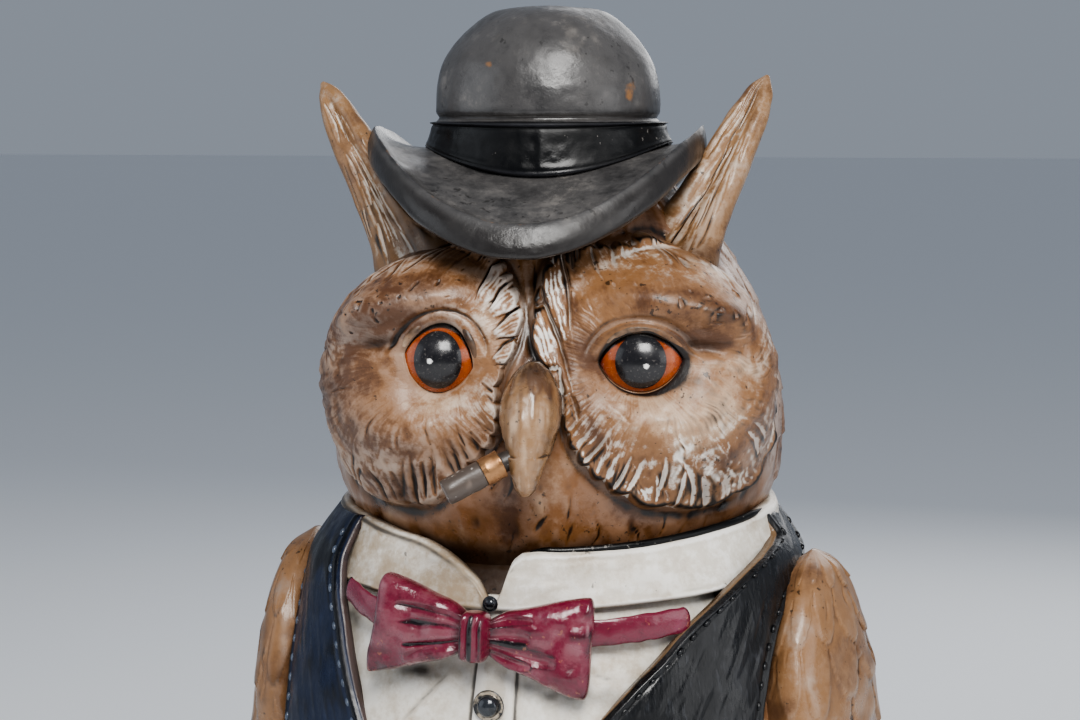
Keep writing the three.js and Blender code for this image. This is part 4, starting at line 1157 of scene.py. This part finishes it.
def buildStitches(key, paint):
    rows = [stitchLine(key, edge) for edge in ("lapel", "arm")]
    points, ahead = np.vstack([r[0] for r in rows]), np.vstack([r[1] for r in rows])
    mesh = bpy.data.meshes.new("stitchMarks")
    mesh.from_pydata((points * mm).tolist(), [], [])
    mesh.attributes.new("along", "FLOAT_VECTOR", "POINT").data.foreach_set("vector", ahead.ravel())
    marked = bpy.data.objects.new("stitchMarks", mesh)
    bpy.context.scene.collection.objects.link(marked)
    tree = buildStitchTree(paint)
    sewn = marked.modifiers.new("sewn", "NODES")
    sewn.node_group = tree
    values = {"Length": stitchForm["length"] * mm, "Width": stitchForm["width"] * mm}
    for item in tree.interface.items_tree:
        if item.in_out == "INPUT" and item.name in values:
            sewn[item.identifier] = values[item.name]
    ready = marked.evaluated_get(bpy.context.evaluated_depsgraph_get())
    thread = bpy.data.objects.new("stitches_" + key, bpy.data.meshes.new_from_object(ready))
    bpy.data.objects.remove(marked)
    thread.data.shade_smooth()
    bpy.context.scene.collection.objects.link(thread)
    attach(thread, "root")


shirtForm = {"bottom": 100, "tall": 78, "reach": 58, "placketAt": 2.6}


def buildShirt(rows=130, columns=170):
    degrees, v = down(columns, -shirtForm["reach"], shirtForm["reach"]).T, down(rows)
    z = shirtForm["bottom"] + shirtForm["tall"] * v + 0 * degrees
    base = curve(z, torsoForm)
    x = np.sin(np.radians(degrees)) * base
    aside = np.abs(x - shirtForm["placketAt"])
    placket = 0.7 * ease(aside, 4.1, 3.7) - 0.5 * bell(aside, 4.2, 0.3)
    flat = places(x, z, 0 * z)
    puffs = 0.5 * lumps(flat * [1, 0.7, 1], 11, 71) + 0.15 * lumps(flat, 3.4, 72)
    creases = 0.5 * groove(x, z, (9, 165), (27, 161), 1.4, 0.05)
    creases += 0.5 * groove(x, z, (-7, 163), (-17, 152), 1.2)
    under = 1.2 * spot(x, z, (16, 160), (9, 2.0), -10) + 1.2 * spot(x, z, (-12, 162.5), (11, 1.8), 8)
    under = under * (0.6 + 0.6 * lumps(flat, 2.2, 74))
    outer = roundTorso(degrees, z, base + 2.2 + placket + puffs * 0.6 - 0.6 * creases)
    inner = roundTorso(degrees, z, base + 0.2)
    return slab("shirt_bib", outer, inner, linenPaint, "linen_paint", ["shirt_front"], depth=0.25, passes=6,
                chalk=0.6, shade=np.clip(under, 0, 0.9))


# tops: degrees from the front, height
collarForm = {
    "radius": 48.3, "flare": 0.34, "thick": 2.4,
    "left": [[0.6, 176.0], [1.6, 177.3], [2.8, 179.6], [3.6, 182.2], [4.6, 184.6], [6.4, 186.4], [9, 187.0],
             [17, 187.2], [40, 188.4], [62, 190.4], [90, 192.6], [135, 195], [180, 196.5]],
    "right": [[0.4, 176.6], [1.0, 178.0], [2.4, 180.0], [7.1, 183.4], [11, 185.4], [16, 187.2], [31, 189.4],
              [47, 191.2], [90, 193.4], [135, 195], [180, 196.5]],
}


def buildCollar(key, rows=60, columns=300):
    side = sideOf[key]
    u, v = down(columns).T, down(rows)
    degrees = (0.7 if side > 0 else 0.3) + 179.1 * u**1.5 + 0 * v
    high = curve(degrees, collarForm[key])
    low = 179.8 - 4.5 * np.cos(np.radians(degrees)) + 0.5 * ease(degrees, 10, 40)
    z = low + (high - low) * v
    tilt = z + 4.32 * np.cos(np.radians(degrees))  # the collar stands lower in front
    radius = collarForm["radius"] + (191 - tilt) * collarForm["flare"]
    girth = np.radians(1) * radius
    edge = np.minimum(np.minimum(high - z, degrees * girth - 0.5), (z - low) * 1.2)
    rolled = -0.6 * bell(edge, 0, 0.45) + 0.18 * bell(edge, 1.0, 0.6)
    flat = places(degrees * girth * side, z, 0 * z)
    uneven = 0.28 * lumps(flat, 10, 81) + 0.1 * lumps(flat * [0.4, 1.5, 1], 2.2, 82)
    bend = 0.5 * bell(degrees, 12, 8) * v
    outer = roundTorso(side * degrees, z, radius + rolled + uneven + bend)
    inner = roundTorso(side * degrees, z, radius - collarForm["thick"])
    # darker along the collar's lower edge and the foot of its front edge: a painted line with painted shade
    # under the edge
    lined = 0.75 * bell(z, low, 0.35) + 0.45 * bell(degrees * girth, 0, 1.6) * (1 - v)
    tone, chalk = (0.0, 0.85) if key == "left" else (-0.7, 0.35)
    return slab("collar_leaf_" + key, outer, inner, linenPaint, "linen_paint", ["collar_" + key],
                depth=0.16, passes=7, tone=tone, chalk=chalk, shade=np.clip(lined, 0, 0.8))


def buildCollarLine():
    # a dark line along the top of the collar, where the head meets it
    degrees = np.linspace(9, 84, 240)
    high = curve(degrees, collarForm["left"]) + 0.15
    path = roundTorso(degrees, high, 47.2 + 0 * degrees)
    radii = 0.75 * ease(degrees, 8, 14) * ease(degrees, 85, 76) + 0.08
    wrapped("collar_line", tube(path, radii, 10), ribbonPaint, "ribbon_paint", chalk=0.0, shade=0.0)


for key, cloth in (("left", blackCloth), ("right", navyCloth)):
    buildWaistcoatFront(key, cloth)
    buildStitches(key, threadHighlight if key == "right" else cloth)
    buildCollar(key)
buildWaistcoatBack()
buildShirt()
buildCollarLine()
print("waistcoat, shirt and collar")


# bow tie

bowForm = {
    "left": {"side": 1, "turn": 10, "tilt": 6.5, "lean": 0.04, "at": (0.6, -58.6, 172.0), "seed": 91},
    "right": {"side": -1, "turn": -8, "tilt": 1, "lean": 0.2, "at": (0.6, -58.8, 172.6), "seed": 97},
    "knot": {"side": 1, "turn": 0, "tilt": 4, "at": (0.6, -60.4, 172)},
    "high": [[0, 3.6], [0.12, 5.2], [0.4, 7.2], [0.75, 9.7], [0.92, 10.5], [1, 10.5]],
    "deep": [[0, 2.6], [0.2, 3.3], [0.6, 3.9], [0.9, 3.3], [1, 2.6]],
    "reach": (2.4, 23.2),
}


def placeBow(points, loop):
    a, b = np.radians(loop["turn"]), np.radians(loop["tilt"])
    x, y, z = points[..., 0] * loop["side"], points[..., 1], points[..., 2]
    x, y = x * np.cos(a) - y * np.sin(a), x * np.sin(a) + y * np.cos(a)
    x, z = x * np.cos(b) + z * np.sin(b), z * np.cos(b) - x * np.sin(b)
    return places(x, y, z) + np.array(loop["at"])


def rounded(angle, power):
    c, s = np.cos(angle), np.sin(angle)
    return np.sign(c) * np.abs(c) ** (2 / power), np.sign(s) * np.abs(s) ** (2 / power)


def buildBowLoop(key, rows=130, columns=190):
    loop = bowForm[key]
    u = down(rows)
    turn = around(columns)
    capped = np.sqrt(np.clip(1 - np.clip((u - 0.9) / 0.1, 0, 1) ** 2.2, 0.004, 1))
    wide, tall = rounded(turn, 3.4)
    near, far = bowForm["reach"]
    x = near + (far - near) * u
    z = curve(u, bowForm["high"]) * tall * (0.25 + 0.75 * capped)
    y = -curve(u, bowForm["deep"]) * wide * capped
    x = x + 0.9 * (z / 10) ** 2 * u**2 - loop["lean"] * z * u
    y = y + 0.9 * u * (np.abs(z) / 10) ** 3 * (wide > 0)
    front = ease(wide, -0.2, 0.4)
    folds = np.zeros_like(y)
    rng = np.random.default_rng(loop["seed"])
    for at in (-2.7, -1.2, 0.5, 2.3):  # gathers that spread from the knot
        reach = rng.uniform(7, 15)
        end = (near + reach, at * (1.1 + reach * 0.09) + rng.uniform(-0.8, 0.8))
        fold = groove(x, z, (0.4, at * 0.8), end, rng.uniform(1.0, 1.9), rng.uniform(-0.08, 0.08))
        folds = np.maximum(folds, fold * rng.uniform(0.5, 1))
    flat = places(x, y * 0.4, z)
    puff = 0.95 * lumps(flat, 6.5, loop["seed"]) + 0.62 * lumps(flat, 2.8, loop["seed"] + 1)
    y = y + front * (1.3 * folds**0.8 - puff)
    points = placeBow(places(x, y, z), loop)
    below = ease(-tall + 0 * u, 0.55, 0.95) * ease(wide, 0.9, 0.3)
    shade = np.clip(0.5 * below + 0.6 * ease(0.12 - u, 0, 0.12), 0, 1)
    return wrapped("bow_pillow_" + key, points, tiePaint, "tie_paint", ["bow_loop_" + key], depth=0.3,
                   passes=10, chalk=0.1 + 0.6 * below, shade=shade)


def buildKnot(rows=76, columns=120):
    polar = down(rows, 0.04, np.pi - 0.04)
    turn = around(columns)
    wide, deep = rounded(turn, 2.6)
    ring = np.sin(polar) ** 0.42
    z = 5.1 * np.sign(np.cos(polar)) * np.abs(np.cos(polar)) ** 0.8
    x = 3.1 * wide * ring * (1 + 0.1 * (z / 5) ** 2)
    ridges = 0.42 * np.cos(x * 2.9 + 0.25 * np.sin(z * 0.7)) * (deep < 0) * ring
    y = 3.9 * deep * ring - ridges
    y = y + 0.15 * lumps(places(x, y, z), 2.2, 95)
    points = placeBow(places(x, y, z), bowForm["knot"])
    return wrapped("bow_middle", points, tiePaint, "tie_paint", ["bow_knot"], depth=0.2, passes=10, chalk=0.0,
                   shade=0.0)


def buildStrap(key, path, ends):
    # a flattened roll along the path, rounded off from the share ends on
    path = np.array(path, float)
    stops = np.linspace(0, 1, 120)
    shares = np.arange(len(path)) / (len(path) - 1)
    line = np.stack([curve(stops, list(zip(shares, path[:, k]))) for k in range(3)], -1)
    radii = 2.75 * np.sqrt(np.clip(1 - np.clip((stops - ends) / (1 - ends), 0, 1) ** 2, 0.01, 1))
    ring = tube(line, radii, 70)
    middle = line[:, None]
    offset = ring - middle
    inward = middle * [1, 1, 0] / np.linalg.norm(middle * [1, 1, 0], axis=2, keepdims=True)
    offset = offset - inward * (offset * inward).sum(2, keepdims=True) * 0.72
    ring = middle + offset * (1 + 0.09 * lumps(ring, 2.4, 93)[..., None])
    wrapped("strap_" + key, ring, tiePaint, "tie_paint", ["neck_strap_" + key], depth=0.2, passes=8,
            chalk=0.0, shade=0.0)


for key in ("left", "right"):
    buildBowLoop(key)
buildKnot()
strapForm = {
    "left": ([(21, -50.4, 171.8), (27, -47.6, 172.2), (33.5, -42.9, 173.0), (39.3, -37.0, 173.6)], 0.93),
    "right": ([(-20, -50.8, 172.6), (-24, -49.0, 173.6), (-28.5, -46.2, 175.2), (-33.4, -41.8, 177.2)], 0.98),
}
for key, (path, ends) in strapForm.items():
    buildStrap(key, path, ends)
print("bow tie")


# studs and waistcoat buttons

def studPaintOf():
    paint, tree, shader, where = newPaint("studPaint")
    # the ring mark turns the rim of a dome stud pale: a painted highlight
    tone = blendColors(tree, span(tree, mark(tree, "ring"), 0.35, 0.6), color("33363b"), color("b9aa95"))
    layers = blendColors(tree, span(tree, grain(tree, where, 500.0, 3.0), 0.45, 0.65), tone, color("1a1b1e"))
    feed(tree, shader, {"Base Color": layers, "Metallic": 0.35, "Roughness": 0.18, "Coat Weight": 0.5})
    return paint


studPaint = studPaintOf()


def turnedDisc(name, at, profile, stands, lean=0.0, holes=False):
    # profile as [radius, how far it stands forward]
    stops, turn = down(70), around(64)
    radius = curve(stops, [[i / (len(profile) - 1), r] for i, (r, f) in enumerate(profile)])
    forward = curve(stops, [[i / (len(profile) - 1), f] for i, (r, f) in enumerate(profile)]) + 0 * turn
    x, z = radius * np.cos(turn), radius * np.sin(turn)
    if holes:
        for a in (-0.7, 0.7):
            for b in (-0.7, 0.7):
                forward = forward - 0.9 * spot(x, z, (a, b), (0.42, 0.42)) * (forward > 0.6)
    points = places(at[0] + x, at[1] - forward + lean * z, at[2] + z)
    # a pale ring round the stud's rim, a painted highlight; the buttons have none
    ring = bell(radius, 2.75, 0.4) + 0 * turn
    wrapped(name, points, studPaint, "stud_paint", stands, ring=ring * (0.0 if holes else 1.0))


domeStud = [(0.2, -1.2), (2.4, -0.9), (3.2, -0.1), (3.15, 0.3), (2.5, 0.35), (2.3, 0.6), (1.9, 1.5),
            (1.0, 2.1), (0.05, 2.3)]
turnedDisc("stud_upper", (2.4, -57.0, 157.3), domeStud, ["shirt_stud_upper"])
turnedDisc("stud_lower", (1.6, -60.0, 137), domeStud, ["shirt_stud_lower"])
turnedDisc("stud_collar", (0.7, -50.6, 177.0), [(r * 0.5, f * 0.45) for r, f in domeStud], ["collar_stud"])
fourHole = [(0.2, -0.6), (2.8, -0.5), (3.2, 0.3), (3.15, 1.3), (2.7, 1.9), (2.2, 1.6), (1.5, 1.3),
            (0.05, 1.3)]
for number, at in enumerate(((-3.6, -61.3, 98), (-3.6, -59.7, 84), (-3.6, -57.5, 70)), 1):
    turnedDisc("button_" + str(number), at, fourHole, ["waistcoat_button_" + str(number)], 0.06, True)
print("studs and buttons")


# wings, body, tail, feet and base

wingForm = {
    "bottom": 46, "tall": 137.2, "flat": 0.38, "at": (58, 5),
    "outline": [[45, 0.4], [54, 5], [84, 15], [112, 25], [140, 31], [158, 28.5], [170, 22], [177, 15.5],
                [181, 9], [183.4, 0.6]],
}


def buildWing(key, rows=210, columns=230):
    side = sideOf[key]
    rng = np.random.default_rng(side + 7)
    z = wingForm["bottom"] + wingForm["tall"] * (0.5 - 0.5 * np.cos(down(rows, 0.02, np.pi - 0.02)))
    turn = around(columns, -np.pi)
    radius = curve(z, wingForm["outline"])
    fall = 150 - z
    across = turn * 17
    drift = places(across, z, 0)
    aside, drop = across + 2.2 * lumps(drift, 17, 103), 184 - z + 3.2 * lumps(drift, 21, 104)
    feather, _, along = scales(drop, aside, 11.5, 9.5)
    flat = places(across, z, 0)
    relief = 1.05 * feather**1.6 + 0.8 * lumps(flat, 14, 101) + 0.42 * lumps(flat, 4.5, 102)
    for _ in range(60):  # stray chisel marks
        at, high = rng.uniform(-40, 40), rng.uniform(60, 176)
        end = at + rng.uniform(-2.5, 2.5), high - 4.5
        relief -= 0.7 * groove(across, z, (at, high), end, rng.uniform(0.4, 0.8), rng.uniform(-0.3, 0.3))
    relief = (relief - 0.7) * ease(radius, 2, 14)
    x = radius * np.cos(turn) * wingForm["flat"] + relief * np.cos(turn)
    y = radius * np.sin(turn) + relief * np.sin(turn) * 0.4
    points = places(side * (x + wingForm["at"][0] + 0.02 * fall), y + wingForm["at"][1] + 0.14 * fall, z)
    return wrapped(key + "_wing_form", points, wingPaint, "wing_paint", [key + "_wing"], depth=0.5, passes=8,
                   chalk=0.05 + 0.06 * along, shade=0.0,
                   tone=0.2 * feather - 0.15 + 0.5 * lumps(flat, 9, 105))


def buildBody(rows=180, columns=320):
    z = down(rows, 12.6, 183)
    turn = around(columns, -np.pi)
    radius = curve(z, torsoForm)
    s = turn * 52
    feather, shaft, along = scales(190 - z + 1.5 * np.sin(s / 6), s, 10.5, 12.0)
    relief = 1.3 * feather + 0.1 * np.sin(np.abs(shaft) * 32 + along * 15) - 0.3 * bell(shaft, 0, 0.035)
    # feathered where the belly shows, plain under the clothes
    relief = (relief + 0.5 * lumps(places(s, z, 0), 12, 111) - 0.9) * ease(z, 13, 20) * ease(z, 100, 62)
    radius = radius + relief
    points = places(radius * np.sin(turn), -radius * np.cos(turn) * depthShare, z)
    shade = 0.3 * ease(z, 24, 13) + 0.85 * ease(z, 172, 178) + 0 * turn
    return wrapped("body_form", points, featherPaint, "feather_paint", ["body_casting"], depth=0.4, passes=9,
                   chalk=0.1 + 0.25 * along, shade=shade)


def buildTail(rows=150, columns=220):
    v = down(rows)
    turn = around(columns)
    wide, deep = rounded(turn, 3.2)
    z = 77.5 - 64.8 * v
    half = curve(v, [[0, 16], [0.25, 19], [0.6, 23.4], [0.88, 24.6], [0.97, 23.5], [1, 20]])
    thick = curve(v, [[0, 3.0], [0.1, 4.6], [0.85, 4.4], [0.96, 3.2], [1, 1.0]])
    x = half * wide
    quill = 6 * x / half
    comb = np.abs(quill / 2 - np.round(quill / 2)) * 2
    relief = 0.9 * (1 - comb**2) - 0.5 * bell(comb, 1, 0.12)
    relief += 0.1 * lumps(places(x * 0.6, z + 3 * comb, 0), 1.6, 122) + 0.2 * lumps(places(x, z, 0), 4, 121)
    y = 60.4 - 0.14 * (z - 46) + deep * (thick + relief * 0.8)
    return wrapped("tail_fan", places(x, y, z), wingPaint, "wing_paint", ["tail"], depth=0.3, passes=7,
                   chalk=0.4 * (1 - comb), shade=0.0)


footForm = {
    "at": (20, -33), "toeSpread": 21, "turnOut": 7, "length": 27.0,
    "rise": [[0, 7.5], [0.3, 6.0], [0.6, 4.9], [0.82, 4.3], [0.93, 3.2], [1, 1.0]],
    "girth": [[0, 6.6], [0.3, 4.9], [0.6, 4.5], [0.78, 4.5], [0.84, 2.9], [0.93, 2.0], [1, 0.35]],
}


def buildFoot(key):
    # three toes, the middle one longest; the last fifth of each is its claw
    side = sideOf[key]
    for k in (-1, 0, 1):
        heading = np.radians(k * footForm["toeSpread"] + side * footForm["turnOut"])
        along = np.linspace(0, 1, 90)
        reach = -6 + (footForm["length"] - 2.4 * abs(k)) * along
        x = side * footForm["at"][0] + np.sin(heading) * reach
        y = footForm["at"][1] - np.cos(heading) * reach
        z = 12.6 + curve(along, footForm["rise"])
        rings = 1 + 0.05 * np.cos(along * 46) * ease(along, 0.82, 0.7)
        ring = tube(places(x, y, z), curve(along, footForm["girth"]) * rings, 48, 0.98)
        ring[..., 2] = np.maximum(ring[..., 2], 12.5)
        ring = ring + 0.14 * lumps(ring, 2.4, 131 + k)[..., None] * [1, 1, 0]
        claw = ease(along, 0.8, 0.86)[:, None] + 0 * ring[..., 0]
        wrapped(key + "_foot_toe_" + str(k + 2), ring, beakPaint, "beak_paint",
                [key + "_foot"] if k == 0 else (), depth=0.2, chalk=0.25 * (1 - claw), shade=0.85 * claw)


def feltPaintOf():
    paint, tree, shader, where = newPaint("baseFelt")
    fibres = grain(tree, where, 1500.0, 4.0, 0.7)
    tone = blendColors(tree, span(tree, fibres, 0.35, 0.65), color("12261b"), color("2b4a37"))
    feed(tree, shader, {"Base Color": tone, "Roughness": 0.95, "Sheen Weight": 0.4})
    bumped(tree, shader, fibres, 0.7)
    return paint


def turnedForm(name, profile, paint, slot, stands, rough, rows=76, columns=270, **marks):
    # profile as [radius, height], turned with a slightly uneven wall
    stops = down(rows)
    turn = around(columns)
    radius = np.interp(stops, np.linspace(0, 1, len(profile)), [r for r, z in profile])
    z = np.interp(stops, np.linspace(0, 1, len(profile)), [z for r, z in profile]) + 0 * turn
    wall = places(radius * np.sin(turn), radius * np.cos(turn), z)
    radius = radius + rough * lumps(wall, 6, 141) * (radius > 10) + 0.4 * rough * lumps(wall, 2, 142)
    points = places(radius * np.sin(turn), radius * np.cos(turn), z)
    return wrapped(name, points, paint, slot, stands, **marks)


def buildBase():
    plinth = [(0.5, 1.9), (53.5, 1.9), (55.2, 2.3), (55.6, 3.4), (55.4, 6.6), (54.6, 7.4), (54.4, 8.2),
              (55.2, 9.0), (55.0, 10.4), (54.0, 11.5), (52.4, 12.0), (30, 12.0), (0.5, 12.0)]
    turnedForm("plinth_form", plinth, plinthPaint, "plinth_paint", ["base_plinth"], 0.25, chalk=0.3,
               shade=0.0)
    felt = [(0.5, 0.05), (49.4, 0.05), (50, 0.4), (50, 1.1), (49.6, 1.5), (0.5, 1.5)]
    turnedForm("felt_disc", felt, feltPaintOf(), "base_felt", ["felt_pad"], 0.1, rows=40)


for key in sideOf:
    buildWing(key)
    buildFoot(key)
buildBody()
buildTail()
buildBase()
print("wings, body, tail, feet and base")


# stage, light and camera

def buildStage():
    bpy.ops.mesh.primitive_plane_add(size=40)
    floor = bpy.context.object
    floor.name = "floor"
    paint, tree, shader, _ = newPaint("floorPaper")
    feed(tree, shader, {"Base Color": (0.88, 0.89, 0.9, 1), "Roughness": 0.9})
    floor.data.materials.append(paint)
    world = bpy.data.worlds.new("softRoom")
    bpy.context.scene.world = world
    world.use_nodes = True
    glow = world.node_tree.nodes["Background"]
    feed(world.node_tree, glow, {"Color": (0.74, 0.82, 0.95, 1), "Strength": 0.32})


lampAim = Vector((0, 0, 0.2))
# place, size, watts, tint
lamps = {
    "windowLight": ((0.35, -0.8, 0.95), 0.5, 14, (1, 0.985, 0.96)),
    "leftFill": ((-0.9, -0.5, 0.45), 0.8, 1.9, (0.9, 0.95, 1)),
    "rightFill": ((1.0, -0.2, 0.4), 0.6, 2.2, (1, 1, 1)),
    "backLight": ((0.1, 1.0, 0.7), 0.7, 3, (1, 1, 1)),
}


def addLamp(name, at, size, watts, tint):
    lamp = bpy.data.objects.new(name, bpy.data.lights.new(name, "AREA"))
    lamp.data.shape, lamp.data.size, lamp.data.energy, lamp.data.color = "SQUARE", size, watts, tint
    lamp.location = at
    lamp.rotation_euler = (lampAim - Vector(at)).to_track_quat("-Z", "Y").to_euler()
    bpy.context.scene.collection.objects.link(lamp)


view = {"turn": np.radians(17), "rise": np.radians(5), "distance": 0.6, "lens": 90.9, "aimHeight": 0.2226,
        "aside": -0.004}


def buildCamera():
    a, e = view["turn"], view["rise"]
    right = Vector((np.cos(a), np.sin(a), 0))
    back = Vector((np.sin(a) * np.cos(e), -np.cos(a) * np.cos(e), np.sin(e)))
    camera = bpy.data.objects.new("camera", bpy.data.cameras.new("camera"))
    camera.data.lens, camera.data.sensor_width, camera.data.clip_start = view["lens"], 36, 0.01
    aim = Vector((0, 0, view["aimHeight"])) + right * view["aside"]
    camera.location = aim + back * view["distance"]
    camera.rotation_euler = back.to_track_quat("Z", "Y").to_euler()
    bpy.context.scene.collection.objects.link(camera)
    bpy.context.scene.camera = camera


buildStage()
buildCamera()
for name, (at, size, watts, tint) in lamps.items():
    addLamp(name, at, size, watts, tint)
bpy.context.scene.view_settings.look = "AgX - Medium High Contrast"
